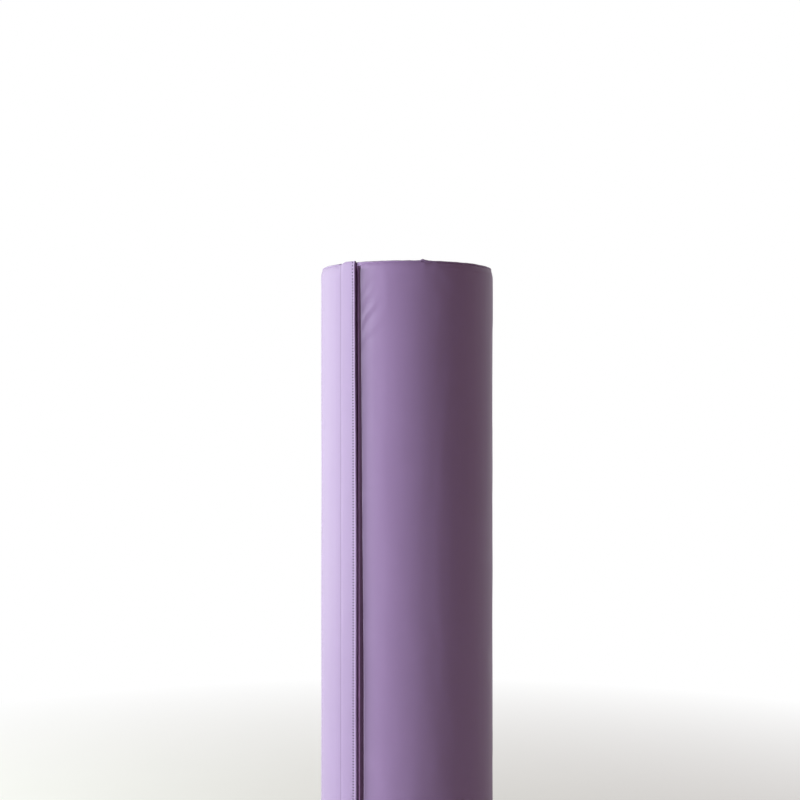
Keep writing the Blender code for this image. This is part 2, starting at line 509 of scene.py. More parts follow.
def repeat(bm: BMesh, step: Sequence[float], side: int) -> None:
    """Repeats everything in a mesh, in two rounds because one long row takes far more time.

    Args:
        bm: the mesh.
        step: the way from one copy to the next.
        side: how many copies a round makes, so that there are side times side.
    """
    for reach in (1, side):
        bmesh.ops.spin(
            bm,
            geom=[*bm.verts, *bm.edges, *bm.faces],
            cent=(0, 0, 0),
            axis=(0, 0, 1),
            dvec=Vector(step) * reach,
            angle=0.0,
            steps=side - 1,
            use_duplicate=True,
        )


def mark(mesh: Mesh, **closeness: Array) -> None:
    """Keeps shares from 0 to 1 for the finishes: how close each point lies to a seam or a row of stitching, and where
    shade or light is painted.
    """
    for name, share in closeness.items():
        layer = mesh.attributes.new(name, "FLOAT", "POINT")
        layer.data.foreach_set("value", np.clip(share, 0.0, 1.0).astype(np.float32))


def operator(operation: str, turned: bool = False) -> Callable[["Value", object], "Value"]:
    """An operator between a Value and a number or another Value.

    Args:
        operation: what its Math node does.
        turned: whether the Value stands second.

    Returns:
        The operator as a method.
    """

    def apply(value: "Value", other: object) -> "Value":
        """Adds the node."""
        first, second = (other, value) if turned else (value, other)
        return value.maths(operation, first, second)

    return apply


class Value:
    """A number that changes over a surface, written with the usual operators."""

    __add__, __radd__ = operator("ADD"), operator("ADD", turned=True)
    __sub__, __rsub__ = operator("SUBTRACT"), operator("SUBTRACT", turned=True)
    __mul__, __rmul__ = operator("MULTIPLY"), operator("MULTIPLY", turned=True)

    def __init__(self, graph: "Graph", socket: Socket) -> None:
        """Wraps a node's output.

        Args:
            graph: the node graph that it belongs to.
            socket: the output.
        """
        self.graph = graph
        self.socket = socket

    def maths(self, operation: str, first: object, second: object = 0.0) -> "Value":
        """Adds a Math node for an operation on two numbers."""
        node = self.graph.node("ShaderNodeMath", {"operation": operation}, {0: first, 1: second})
        return Value(self.graph, node.outputs[0])

    def cosine(self) -> "Value":
        """Its cosine."""
        return self.maths("COSINE", self)

    def power(self, exponent: float) -> "Value":
        """It raised to an exponent."""
        return self.maths("POWER", self, exponent)

    def held(self) -> "Value":
        """It held between 0 and 1."""
        node = self.graph.node("ShaderNodeClamp", {}, {"Value": self})
        return Value(self.graph, node.outputs[0])


class Graph:
    """The node graph of a material or of the world."""

    def __init__(self, owner: Material | bpy.types.World) -> None:
        """Takes over the owner's nodes.

        Args:
            owner: the material or the world.
        """
        owner.use_nodes = True
        self.owner = owner
        self.tree = owner.node_tree

    @classmethod
    def of_finish(cls, name: str) -> "Graph":
        """The graph of a new material."""
        return cls(bpy.data.materials.new(name))

    @cached_property
    def shader(self) -> bpy.types.Node:
        """The material's Principled shader."""
        return self.tree.nodes["Principled BSDF"]

    @cached_property
    def place(self) -> Socket:
        """The object's own coordinates."""
        return self.node("ShaderNodeTexCoord").outputs["Object"]

    def node(
        self,
        kind: str,
        settings: dict[str, object] | None = None,
        values: dict[int | str, object] | None = None,
    ) -> bpy.types.Node:
        """Adds a node.

        Args:
            kind: the node's type.
            settings: its settings, set first; "stops" are the places and greys or colours of a ramp.
            values: numbers, colours or links for its sockets, by name or number.

        Returns:
            The node.
        """
        made = self.tree.nodes.new(kind)
        for name, value in (settings or {}).items():
            if name == "stops":
                self._ramp(made, value)
            else:
                setattr(made, name, value)
        for name, value in (values or {}).items():
            self.feed(made.inputs[name], value)
        return made

    def _ramp(self, made: bpy.types.Node, stops: Sequence[tuple[float, Sequence[float]]]) -> None:
        """Gives a ramp its stops."""
        elements = made.color_ramp.elements
        while len(elements) < len(stops):
            elements.new(0.5)
        for element, (place, colour) in zip(elements, stops):
            element.position = place
            element.color = (*colour, 1.0)

    def feed(self, socket: Socket, value: object) -> None:
        """Links a value to a socket, or sets it there."""
        if isinstance(value, Value):
            value = value.socket
        if isinstance(value, Socket):
            self.tree.links.new(value, socket)
        else:
            socket.default_value = value

    def noise(self, size: float, detail: float = 2.0, stretch: Sequence[float] = (1.0, 1.0, 1.0)) -> Value:
        """Cloudy noise over the object.

        Args:
            size: metres from one cloud to the next.
            detail: how much finer noise it holds.
            stretch: how much longer the clouds are along x, y and z.

        Returns:
            The noise, about 0.5.
        """
        scale = tuple(1.0 / (size * s) for s in stretch)
        spread = self.node("ShaderNodeMapping", {}, {"Vector": self.place, "Scale": scale})
        values = {"Vector": spread.outputs[0], "Scale": 1.0, "Detail": detail, "Roughness": 0.55}
        return Value(self, self.node("ShaderNodeTexNoise", {}, values).outputs[0])

    def pebbles(self, size: float) -> Value:
        """The distance to the nearest grain of a pebbled surface, from 0 to about 1."""
        values = {"Vector": self.place, "Scale": 1.0 / size, "Randomness": 1.0}
        node = self.node("ShaderNodeTexVoronoi", {"feature": "SMOOTH_F1"}, values)
        return Value(self, node.outputs["Distance"])

    def attribute(self, name: str) -> Value:
        """One of the piece's own attributes."""
        node = self.node("ShaderNodeAttribute", {"attribute_name": name, "attribute_type": "GEOMETRY"})
        return Value(self, node.outputs["Fac"])

    def flat(self) -> tuple[Value, Value]:
        """The place across and along the flat panel, in metres."""
        cut = self.node("ShaderNodeUVMap", {"uv_map": "flat_cut"})
        parts = self.node("ShaderNodeSeparateXYZ", {}, {0: cut.outputs[0]})
        return Value(self, parts.outputs[0]), Value(self, parts.outputs[1])

    def mixed(self, share: Value, first: Sequence[float], second: object) -> Socket:
        """A colour between two colours.

        Args:
            share: how much of the second there is.
            first: the first colour, or a link.
            second: the second colour, or a link.

        Returns:
            The mixed colour's socket.
        """
        colours = [c if isinstance(c, Socket) else (*c, 1.0) for c in (first, second)]
        values = {0: share, 6: colours[0], 7: colours[1]}
        node = self.node("ShaderNodeMix", {"data_type": "RGBA", "clamp_factor": True}, values)
        return node.outputs[2]

    def relief(self, height: Value, depth: float, strength: float = 1.0) -> None:
        """Feeds a height through a Bump node to the shader's Normal."""
        values = {"Height": height, "Distance": depth, "Strength": strength}
        node = self.node("ShaderNodeBump", {}, values)
        self.feed(self.shader.inputs["Normal"], node.outputs[0])

    def dress(self, **values: object) -> Material:
        """Sets the shader's own sockets, by names with _ for a space.

        Args:
            values: numbers, colours or links.

        Returns:
            The finished material.
        """
        for name, value in values.items():
            self.feed(self.shader.inputs[name.replace("_", " ")], value)
        return self.owner


def shade(colour: Sequence[float], share: float) -> tuple[float, ...]:
    """A colour made darker or lighter by a share."""
    return tuple(min(1.0, part * share) for part in colour)


@dataclass(frozen=True)
class Vinyl:
    """Satin coated vinyl with a very fine grain, puckered along its rows of stitching, darker towards its seams, and
    darkened where shade is painted beside the flap and on the piping's upper side.

    It is painted paler and greyer on the side that faces the lamps at the left, as a painted sheen of their light.
    """

    name: str = "lilac_vinyl"
    colour: Colour = (0.246, 0.159, 0.304)
    lit_side_colour: Colour = (0.240, 0.175, 0.297)
    # The side of the sleeve that the painted sheen faces, towards the lamps at the left, in degrees round the sleeve.
    faces: float = -30.0
    radius: float = 128.7 * MM
    roughness: float = 0.45
    sheen_level: float = 0.25
    grain: float = 0.75 * MM
    grain_depth: float = 0.014 * MM
    pitch: float = 4.1 * MM
    first: float = 0.0
    pucker: float = 0.30 * MM

    def material(self) -> Material:
        """Builds the finish."""
        graph = Graph.of_finish(self.name)
        seam, row = graph.attribute("seam"), graph.attribute("row")
        clouds = graph.noise(0.11, 3.0, (1.0, 1.0, 2.2))
        streaks = graph.noise(0.022, 2.0, (1.0, 1.0, 6.0))
        rubs = graph.noise(0.045, 5.0)
        specks = graph.noise(0.0011, 2.0)
        tone = (clouds - 0.5) * 0.55 + (streaks - 0.5) * 0.25 + (specks - 0.5) * 0.18 + 0.5
        # Painted sheen: towards the side that faces the lamps, the tone runs to a paler, greyer colour that stands in
        # for their light.
        pale = self._lit_side_share(graph)
        dark, light = (graph.mixed(pale, shade(self.colour, share), shade(self.lit_side_colour, share)) for share in (0.93, 1.07))
        base = graph.mixed(tone.held(), dark, light)
        # Darker towards the seams; the same attribute also carries painted shade: the flap's shadow beside the loop
        # tape and the shade on the piping's upper side.
        base = graph.mixed((seam.power(2.0) * 0.75).held(), base, shade(self.colour, 0.4))
        rub = ((rubs - 0.56) * 7.0).held()
        base = graph.mixed((rub * 0.05).held(), base, shade(self.colour, 1.45))
        rough = (clouds - 0.5) * 0.07 + (streaks - 0.5) * 0.05 + rub * 0.035 + self.roughness
        along = graph.flat()[1]
        stitches = ((along - self.first) * (2.0 * math.pi / self.pitch)).cosine()
        # Painted shade in the needle holes between the stitches: near black there.
        holes = (stitches * -3.0 - 0.9).held() * ((row - 0.3) * 2.4).held()
        base = graph.mixed(holes * 0.97, base, shade(self.colour, 0.05))
        grain = graph.pebbles(self.grain) * 0.75 + graph.noise(self.grain * 0.4, 2.0) * 0.5
        height = grain * (self.grain_depth / self.pucker) + stitches * row.power(3.0) * 0.5
        graph.relief(height, self.pucker)
        return graph.dress(Base_Color=base, Roughness=rough, Specular_IOR_Level=self.sheen_level)

    def _lit_side_share(self, graph: Graph) -> Value:
        """How much of the painted sheen the vinyl takes, by the side of the sleeve that it is on."""
        parts = graph.node("ShaderNodeSeparateXYZ", {}, {0: graph.place})
        angle = math.radians(self.faces)
        x, y = (Value(graph, parts.outputs[number]) for number in (0, 1))
        toward = x * (math.sin(angle) / self.radius) - y * (math.cos(angle) / self.radius)
        return (toward * 2.0 - 1.0).held()


@dataclass(frozen=True)
class Backing:
    """The duller vinyl of the lining and of the flap's inner face, with a woven backing pressed through."""

    name: str = "lining_vinyl"
    colour: Colour = (0.245, 0.16, 0.34)
    roughness: float = 0.56
    weave: float = 1.1 * MM

    def material(self) -> Material:
        """Builds the finish."""
        graph = Graph.of_finish(self.name)
        u, t = graph.flat()
        warp = (u * (2.0 * math.pi / self.weave)).cosine()
        weft = (t * (2.0 * math.pi / self.weave)).cosine()
        clouds = graph.noise(0.08, 3.0)
        threads = graph.noise(0.0015, 3.0)
        tone = (clouds - 0.5) * 0.6 + (threads - 0.5) * 0.4 + warp * weft * 0.08 + 0.5
        base = graph.mixed(tone.held(), shade(self.colour, 0.88), shade(self.colour, 1.1))
        base = graph.mixed((graph.attribute("seam") * 0.25).held(), base, shade(self.colour, 0.6))
        graph.relief(warp * weft * 0.5 + threads * 0.6, 0.06 * MM)
        rough = (clouds - 0.5) * 0.08 + self.roughness
        return graph.dress(Base_Color=base, Roughness=rough, Specular_IOR_Level=0.35)


@dataclass(frozen=True)
class Foam:
    """Open-cell foam, cream and matt."""

    name: str = "foam"
    colour: Colour = (0.62, 0.60, 0.55)
    cell: float = 1.3 * MM

    def material(self) -> Material:
        """Builds the finish."""
        graph = Graph.of_finish(self.name)
        cells = graph.pebbles(self.cell)
        clouds = graph.noise(0.03, 4.0)
        tone = (clouds - 0.5) * 0.5 + cells * 0.6
        base = graph.mixed(tone.held(), shade(self.colour, 1.08), shade(self.colour, 0.72))
        graph.relief(cells * -1.0 + clouds * 0.3, 0.6 * MM)
        return graph.dress(Base_Color=base, Roughness=0.95 - cells * 0.05, Specular_IOR_Level=0.2)


@dataclass(frozen=True)
class Webbing:
    """The ground cloth and pile of the closure tapes. Under the flap and in the flap's shadow just past its edge, a
    lighter colour is painted on the tape to lift that shade.
    """

    name: str
    colour: Colour
    lifted_in_shade: Colour
    roughness: float
    sheen_level: float
    rib: float = 0.9 * MM

    def material(self) -> Material:
        """Builds the finish."""
        graph = Graph.of_finish(self.name)
        fibres = graph.noise(0.0006, 3.0)
        wear = graph.noise(0.012, 4.0)
        ribs = graph.pebbles(self.rib)
        tone = (fibres - 0.5) * 0.9 + (wear - 0.5) * 0.5 + 0.5
        # Share of the lighter colour, painted light in the flap's shadow.
        lifted_in_shade = graph.attribute("seam").held()
        dark, light = (graph.mixed(lifted_in_shade, shade(self.colour, s), shade(self.lifted_in_shade, s)) for s in (0.6, 1.7))
        base = graph.mixed(tone.held(), dark, light)
        graph.relief(fibres * 0.6 - ribs * 0.5, 0.25 * MM)
        rough = (wear - 0.5) * 0.12 + self.roughness
        return graph.dress(Base_Color=base, Roughness=rough, Specular_IOR_Level=self.sheen_level)


@dataclass(frozen=True)
class Thread:
    """Twisted polyester sewing thread."""

    name: str = "thread"
    colour: Colour = (0.25, 0.165, 0.31)

    def material(self) -> Material:
        """Builds the finish."""
        graph = Graph.of_finish(self.name)
        strands = graph.noise(0.00035, 2.0, (1.0, 1.0, 3.0))
        lengths = graph.noise(0.02, 2.0)
        tone = (strands - 0.5) * 0.8 + (lengths - 0.5) * 0.5 + 0.5
        base = graph.mixed(tone.held(), shade(self.colour, 0.75), shade(self.colour, 1.25))
        graph.relief(strands, 0.08 * MM)
        return graph.dress(Base_Color=base, Roughness=(strands - 0.5) * 0.15 + 0.5, Specular_IOR_Level=0.4)


def materials(sleeve: Sleeve) -> dict[str, Material]:
    """Builds every finish.

    Args:
        sleeve: the sizes, for the pitch of the stitch holes.

    Returns:
        The materials, by their slots in the record.
    """
    finishes = {
        "vinyl": Vinyl(pitch=sleeve.stitch, first=sleeve.sewn[0] + sleeve.stitch / 2.0),
        "lining": Backing(),
        "foam": Foam(),
        "hook_tape": Webbing("hook_tape", (0.05, 0.03, 0.05), (0.05, 0.03, 0.05), 0.5, 0.3),
        # The loop tape's second colour is painted lighter, to lift the flap's shadow beside its edge.
        "loop_tape": Webbing("loop_tape", (0.027, 0.0119, 0.027), (0.14, 0.068, 0.148), 0.9, 0.06),
        "thread": Thread(),
    }
    return {slot: finish.material() for slot, finish in finishes.items()}


@dataclass(frozen=True)
class Bench:
    """Where meshes become pieces of the pad."""

    sleeve: Sleeve
    finishes: dict[str, Material]

    def piece(
        self, name: str, mesh: Mesh, slot: str, stands_for: str | None, body: str | None
    ) -> Piece:
        """Makes a piece of a finished mesh.

        Args:
            name: the piece's name.
            mesh: its mesh, in place.
            slot: the record's name of its finish.
            stands_for: the node that it replaces, if there is one.
            body: the body that it rides on, or None for a piece that is left unattached.

        Returns:
            The piece.
        """
        mesh.name = name
        mesh.materials.clear()
        mesh.materials.append(self.finishes[slot])
        if "flat" in mesh.attributes:
            lay_out(mesh)
        mesh.shade_smooth()
        mesh.set_sharp_from_angle(angle=SHARP)
        made = placed(name, mesh)
        if stands_for:
            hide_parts(stands_for)
        if body:
            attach(made, body)
        LOG.info("%s: %d faces", name, len(mesh.polygons))
        return made


@dataclass(frozen=True)
class Swelling:
    """How the cover settles over its foam, as cloth under a little pressure from inside."""

    slack: float = 0.003
    pressure: float = 0.6
    frames: int = 20
    cap: float = 0.4 * MM

    def settle(self, mesh: Mesh, pinned: Array, freedom: Array) -> None:
        """Lets a panel swell, held at its sewn borders and kept from sinking by the foam.

        Args:
            mesh: the panel round the sleeve, which is changed.
            pinned: the numbers of the vertices that are sewn down.
            freedom: how much of its swelling each vertex keeps.
        """
        start = points_of(mesh)
        outward = normals_of(mesh)
        holder = placed("settling", mesh)
        group = holder.vertex_groups.new(name="sewn")
        group.add([int(v) for v in pinned], 1.0, "REPLACE")
        cloth = holder.modifiers.new("cloth", "CLOTH")
        settings = cloth.settings
        settings.quality = 4
        settings.mass = 0.4
        settings.tension_stiffness = settings.compression_stiffness = 30.0
        settings.shear_stiffness = 12.0
        settings.bending_stiffness = 3.0
        settings.vertex_group_mass = "sewn"
        settings.shrink_min = -self.slack
        settings.use_pressure = True
        settings.uniform_pressure_force = self.pressure
        settings.effector_weights.gravity = 0.0
        cloth.collision_settings.use_collision = False
        scene = bpy.context.scene
        cloth.point_cache.frame_start, cloth.point_cache.frame_end = 1, self.frames
        for number in range(1, self.frames + 1):
            scene.frame_set(number)
        seen = holder.evaluated_get(bpy.context.evaluated_depsgraph_get())
        moved = np.sum((points_of(seen.data) - start) * outward, axis=1)
        holder.modifiers.remove(cloth)
        scene.frame_set(1)
        bpy.data.objects.remove(holder)
        capped = self.cap * np.tanh(np.maximum(moved / self.cap, -0.25)) * freedom
        LOG.info("settled by %.2f to %.2f mm", capped.min() / MM, capped.max() / MM)
        move_to(mesh, start + outward * capped[:, None])


@dataclass(frozen=True)
class StitchRow:
    """A row of lockstitches that lies in a small valley of its panel."""

    word: str
    place: float
    body: str
    length: float = 2.2 * MM
    width: float = 0.9 * MM
    thickness: float = 0.75 * MM
    slant: float = 7.0
    sink: float = 0.12 * MM

    def build(self, bench: Bench, lay: Lay | None = None) -> Piece:
        """Makes the row.

        Args:
            bench: where it becomes a piece.
            lay: how its panel is drawn across and stands proud, by place across and height.

        Returns:
            The row of stitches.
        """
        sleeve = bench.sleeve
        bm = bmesh.new()
        bmesh.ops.create_uvsphere(bm, u_segments=8, v_segments=5, radius=0.5)
        size = Matrix.Diagonal((self.width, self.length, self.thickness)).to_4x4()
        lying = Matrix.Rotation(math.pi / 2.0, 4, "X")
        tilt = Matrix.Rotation(math.radians(self.slant), 4, "Z")
        bmesh.ops.transform(bm, matrix=tilt @ size @ lying, verts=bm.verts)
        bmesh.ops.translate(bm, vec=(0.0, sleeve.sewn[0] + sleeve.stitch / 2.0, 0.0), verts=bm.verts)
        repeat(bm, (0.0, sleeve.stitch, 0.0), math.isqrt(sleeve.stitches))
        mesh = mesh_of(bm)
        flat = points_of(mesh)
        across, height = self.place + flat[:, 0], flat[:, 1]
        drawn, proud = lay(np.full(len(flat), self.place), height) if lay else (0.0, 0.0)
        radius = sleeve.cover - self.sink + flat[:, 2] + proud
        move_to(mesh, sleeve.wrap(np.degrees((across + drawn) / sleeve.cover), radius, height, Side.LEFT))
        return bench.piece(f"{self.word}_stitches", mesh, "thread", f"{self.word}_stitching", self.body)


class Ridge(NamedTuple):
    """A slanting ridge that the flap pulls into the right panel. Sizes are in millimetres.

    It starts at the loop tape's edge, some way down from the top, and climbs by a rise of so much per width.
    """

    drop: float
    rise: float
    height: float
    reach: float


RIDGES = (
    Ridge(36.0, 0.90, 0.24, 20.0),
    Ridge(58.0, 1.00, 0.34, 24.0),
    Ridge(84.0, 1.10, 0.55, 28.0),
    Ridge(108.0, 0.70, 0.36, 36.0),
    Ridge(146.0, 0.50, 0.24, 34.0),
    Ridge(210.0, 0.45, 0.22, 38.0),
    Ridge(330.0, 0.35, 0.18, 36.0),
    Ridge(470.0, 0.30, 0.18, 40.0),
)


@dataclass(frozen=True)
class HalfSleeve:
    """One half of the sleeve: foam in a pocket of vinyl, piped at both rims."""

    bench: Bench
    side: Side
    swelling: Swelling
    under_flap: float = 24.0
    beside_closure: float = 2.1
    eases_over: float = 22.0
    lining_end: float = 179.9
    cover_gathers: float = 12.5 * MM
    band_gathers: float = 15.0 * MM

    @property
    def word(self) -> str:
        """The half's name."""
        return self.side.name.lower()

    @property
    def body(self) -> str:
        """The body that the half rides on."""
        return f"{self.word}_half"

    def _sign(self, zones: Sequence[Zone]) -> list[Zone]:
        """The zones of a right half, turned round for a left one."""
        return [(self.side.value * a, self.side.value * b, step) for a, b, step in zones]

    def _piece(self, node: str, name: str, mesh: Mesh, slot: str) -> Piece:
        """Makes a piece that stands for one of this half's nodes."""
        return self.bench.piece(f"{self.word}_{name}", mesh, slot, f"{self.word}_{node}", self.body)

    def cover(self) -> Piece:
        """Makes the outer panel, swelled over the foam, then puckered at its seams and pulled beside the flap."""
        sleeve = self.bench.sleeve
        end = 180.0 - sleeve.degrees(sleeve.back_gap)
        if self.side is Side.RIGHT:
            zones = [(sleeve.half_gap, 2.0, 0.5), (2.0, 15.0, 2.2), (15.0, 22.0, 0.5), (22.0, 37.0, 1.5)]
            zones += [(37.0, 174.0, 2.8), (174.0, end, 0.7)]
        else:
            zones = [(sleeve.half_gap, 4.0, 0.55), (4.0, 174.0, 3.4), (174.0, end, 0.7)]
        path = sleeve.side_path(sleeve.seam_turn + 0.5, sleeve.cloth + sleeve.fit)
        curve = 13.0 * MM
        top, low = 130.0 * MM, path.length - curve
        rows = [(0.0, curve, 1.3 * MM), (curve, top, 5.0 * MM), (top, low, 13.5 * MM), (low, path.length, 1.6 * MM)]
        mesh = Cut(self._sign(zones), rows).mesh()
        angle, along = flat_of(mesh)
        radius, height = path.at(along, np.zeros(len(along)))
        move_to(mesh, sleeve.wrap(angle, radius, height, self.side))
        turn_to(mesh, points_of(mesh) * ROUND)
        turn, from_rim = np.abs(angle), np.minimum(along, path.length - along)
        held = self.under_flap if self.side is Side.RIGHT else 0.0
        sewn = (turn < max(held, self.beside_closure)) | (turn > end - 1.0) | (from_rim < 1.0 * MM)
        self.swelling.settle(mesh, np.flatnonzero(sewn), smooth((turn - held) / self.eases_over))
        mesh = finished(mesh, SUBSURF=SMOOTHED)
        angle, along = flat_of(mesh)
        relief, seam, row = self._cover_relief(angle, along, path.length, end)
        move_to(mesh, points_of(mesh) + normals_of(mesh) * relief[:, None])
        mark(mesh, seam=seam, row=row)
        self._to_metres(mesh)
        mesh = finished(mesh, SOLIDIFY={"thickness": sleeve.cloth, "offset": -1.0})
        made = self._piece("cover", "outer_panel", mesh, "vinyl")
        return made

    def _to_metres(self, mesh: Mesh) -> None:
        """Turns the degrees across a flat panel to metres."""
        turn, along = flat_of(mesh)
        keep_flat(mesh, np.radians(turn) * self.bench.sleeve.cover, along)

    def _cover_relief(
        self, angle: Array, along: Array, length: float, end: float
    ) -> tuple[Array, Array, Array]:
        """The outer panel's small forms.

        Args:
            angle: degrees round the sleeve.
            along: metres down the panel.
            length: the panel's length.
            end: degrees at its back edge.

        Returns:
            How far each point stands proud, how close it is to a seam, with the painted shadow beside the loop tape
            added in, and how close it is to a row of stitching.
        """
        sleeve = self.bench.sleeve
        turn = np.abs(angle)
        across = np.radians(angle) * sleeve.cover
        from_rim = np.minimum(along, length - along)
        front, back = np.radians(turn) * sleeve.cover, np.radians(end - turn) * sleeve.cover
        sewn_free = smooth(from_rim / (18.0 * MM)) * smooth(back / (16.0 * MM))
        if self.side is Side.LEFT:
            sewn_free *= smooth((front - 3.0 * MM) / (14.0 * MM))
        seed = 5 if self.side is Side.LEFT else 11
        relief = np.zeros(len(turn))
        for number, height, wide, tall in ((0, 0.03, 0.017, 0.30), (4, 0.06, 0.036, 0.17), (1, 0.25, 0.12, 0.30)):
            relief += height * MM * Waves(seed + number, wide, tall).at(across, along) * sewn_free
        phase = 2.0 * math.pi * across / self.cover_gathers + 2.2 * Waves(seed + 2, 0.05, 0.05).at(across, 0.0)
        gathers = np.sin(phase)
        uneven = 0.6 + 0.5 * Waves(seed + 3, 0.06, 0.4).at(across, along)
        relief += 0.20 * MM * gathers * uneven * np.exp(-from_rim / (8.0 * MM)) * smooth(from_rim / (3.0 * MM))
        hinge_side = sleeve.hinge_row - sleeve.back_gap
        relief -= 0.35 * MM * bump(back, hinge_side, 1.3 * MM)
        relief -= 1.0 * MM * np.exp(-back / (0.7 * MM))
        row = bump(back, hinge_side, 1.5 * MM)
        seam = 0.6 * row + 0.2 * np.exp(-from_rim / (1.6 * MM)) + 0.8 * np.exp(-back / (1.2 * MM))
        if self.side is Side.LEFT:
            relief -= 0.06 * MM * bump(front, sleeve.cover_row, 1.2 * MM)
            row += 0.35 * bump(front, sleeve.cover_row, 1.5 * MM)
            seam += 0.15 * bump(front, sleeve.cover_row, 1.2 * MM)
        else:
            beside = front - sleeve.loop_edge(along)
            relief += self._pulled(turn, across, along, from_rim, beside)
            # Painted shadow: the cover darkens beside the loop tape's edge, where the flap's edge casts its shade,
            # fading over a few centimetres.
            below_rim = smooth((from_rim - 5.0 * MM) / (6.0 * MM))
            seam += 0.95 * np.exp(-np.clip(beside, 0.0, None) / (14.0 * MM)) * below_rim
        return relief, seam, row

    def _pulled(
        self, turn: Array, across: Array, along: Array, from_rim: Array, beside: Array
    ) -> Array:
        """What the loop tape, the closed flap and the joint in the piping do to the right panel."""
        sleeve = self.bench.sleeve
        free = smooth(from_rim / (16.0 * MM))
        lip = 1.7 * MM * np.exp(-np.clip(beside, 0.0, None) / (7.5 * MM)) * smooth(1.0 + beside / (1.5 * MM)) * free
        ridges = np.zeros(len(turn))
        for drop, rise, height, reach in RIDGES:
            line = along - (drop * MM - rise * beside)
            fade = smooth(beside / (6.0 * MM)) * (1.0 - smooth((beside / MM - 0.25 * reach) / (0.9 * reach)))
            ridges += height * MM * fade * (bump(line, 0.0, 5.5 * MM) - 0.8 * bump(line, 10.5 * MM, 6.5 * MM))
        joint = math.radians(sleeve.joint) * sleeve.cover
        tuck = bump(across, joint, 4.2 * MM) - 0.7 * bump(across, joint + 8.0 * MM, 4.5 * MM)
        tucked = 0.75 * MM * tuck * np.exp(-along / (9.0 * MM)) * smooth(along / (2.5 * MM))
        creases = 0.05 * MM * Waves(23, 0.2, 0.03).at(across, along) * bump(turn, self.under_flap, 5.0) * free
        return lip + ridges + tucked + creases

    def lining(self) -> Piece:
        """Makes the panel that lies against the pole, with soft upright creases."""
        sleeve = self.bench.sleeve
        zones = self._sign([(sleeve.half_gap, self.lining_end, 2.5)])
        lip, low = 4.2 * MM, 60.0 * MM
        rows = [(lip, low, 5.0 * MM), (low, sleeve.height - lip, 11.0 * MM)]
        mesh = Cut(zones, rows).mesh()
        angle, height = flat_of(mesh)
        across = np.radians(angle) * sleeve.bore
        creases = np.clip(Waves(31 + self.side.value, 0.03, 0.5).at(across, height), 0.0, 2.0)
        radius = sleeve.bore + 0.05 * MM + 0.30 * MM * creases
        move_to(mesh, sleeve.wrap(angle, radius, height, Side.LEFT))
        turn_to(mesh, -points_of(mesh) * ROUND)
        from_end = np.minimum(height - lip, sleeve.height - lip - height)
        mark(mesh, seam=np.exp(-from_end / (3.0 * MM)))
        self._to_metres(mesh)
        made = self._piece("lining", "lining_panel", sewn_up(mesh, sleeve.lining_cloth), "lining")
        return made

    def end_band(self, top: bool) -> Piece:
        """Makes the band over an end of the foam, gathered towards its seam.

        Args:
            top: whether it is the band at the top.

        Returns:
            The band.
        """
        sleeve = self.bench.sleeve
        word = "top" if top else "bottom"
        path = sleeve.ring_path(sleeve.seam_turn - 1.0)
        fine = (53.0, 68.0, 1.0)
        zones = self._sign([(sleeve.half_gap, fine[0], 2.0), fine, (fine[1], self.lining_end, 2.0)])
        seam_start = path.length - 7.0 * MM
        rows = [(0.0, 6.0 * MM, 0.8 * MM), (6.0 * MM, seam_start, 2.4 * MM), (seam_start, path.length, 0.8 * MM)]
        mesh = Cut(zones, rows).mesh()
        angle, along = flat_of(mesh)
        across = np.radians(angle) * sleeve.shoulder[0]
        seed = 41 + 2 * self.side.value + int(top)
        to_seam, to_lip = path.length - along, along - sleeve.lip_depth
        puffed = smooth(to_seam / (7.0 * MM)) * smooth(to_lip / (7.0 * MM))
        phase = 2.0 * math.pi * across / self.band_gathers + 2.5 * Waves(seed, 0.05, 0.05).at(across, 0.0)
        gathers = np.sin(phase) * np.exp(-to_seam / (6.0 * MM)) * smooth(to_seam / (1.5 * MM))
        height_off = 0.55 * MM * gathers + 0.25 * MM * Waves(seed + 1, 0.03, 0.02).at(across, along) * puffed
        height_off += (0.7 if top else -0.25) * MM * puffed
        if top and self.side is Side.RIGHT:
            joint = math.radians(sleeve.joint) * sleeve.shoulder[0]
            height_off += 0.9 * MM * bump(across, joint, 5.0 * MM) * np.exp(-to_seam / (7.0 * MM))
        if not top:
            height_off = np.minimum(height_off, 0.0)
        radius, height = path.at(along, height_off)
        height = height if top else sleeve.height - height
        move_to(mesh, sleeve.wrap(angle, radius, height, self.side))
        turn_to(mesh, (0.0, 0.0, 1.0 if top else -1.0))
        mark(mesh, seam=0.8 * (np.exp(-to_seam / (1.6 * MM)) + bump(along, 0.0, 2.0 * MM)))
        self._to_metres(mesh)
        made = self._piece(f"{word}_band", f"{word}_ring", sewn_up(mesh, sleeve.cloth), "vinyl")
        return made

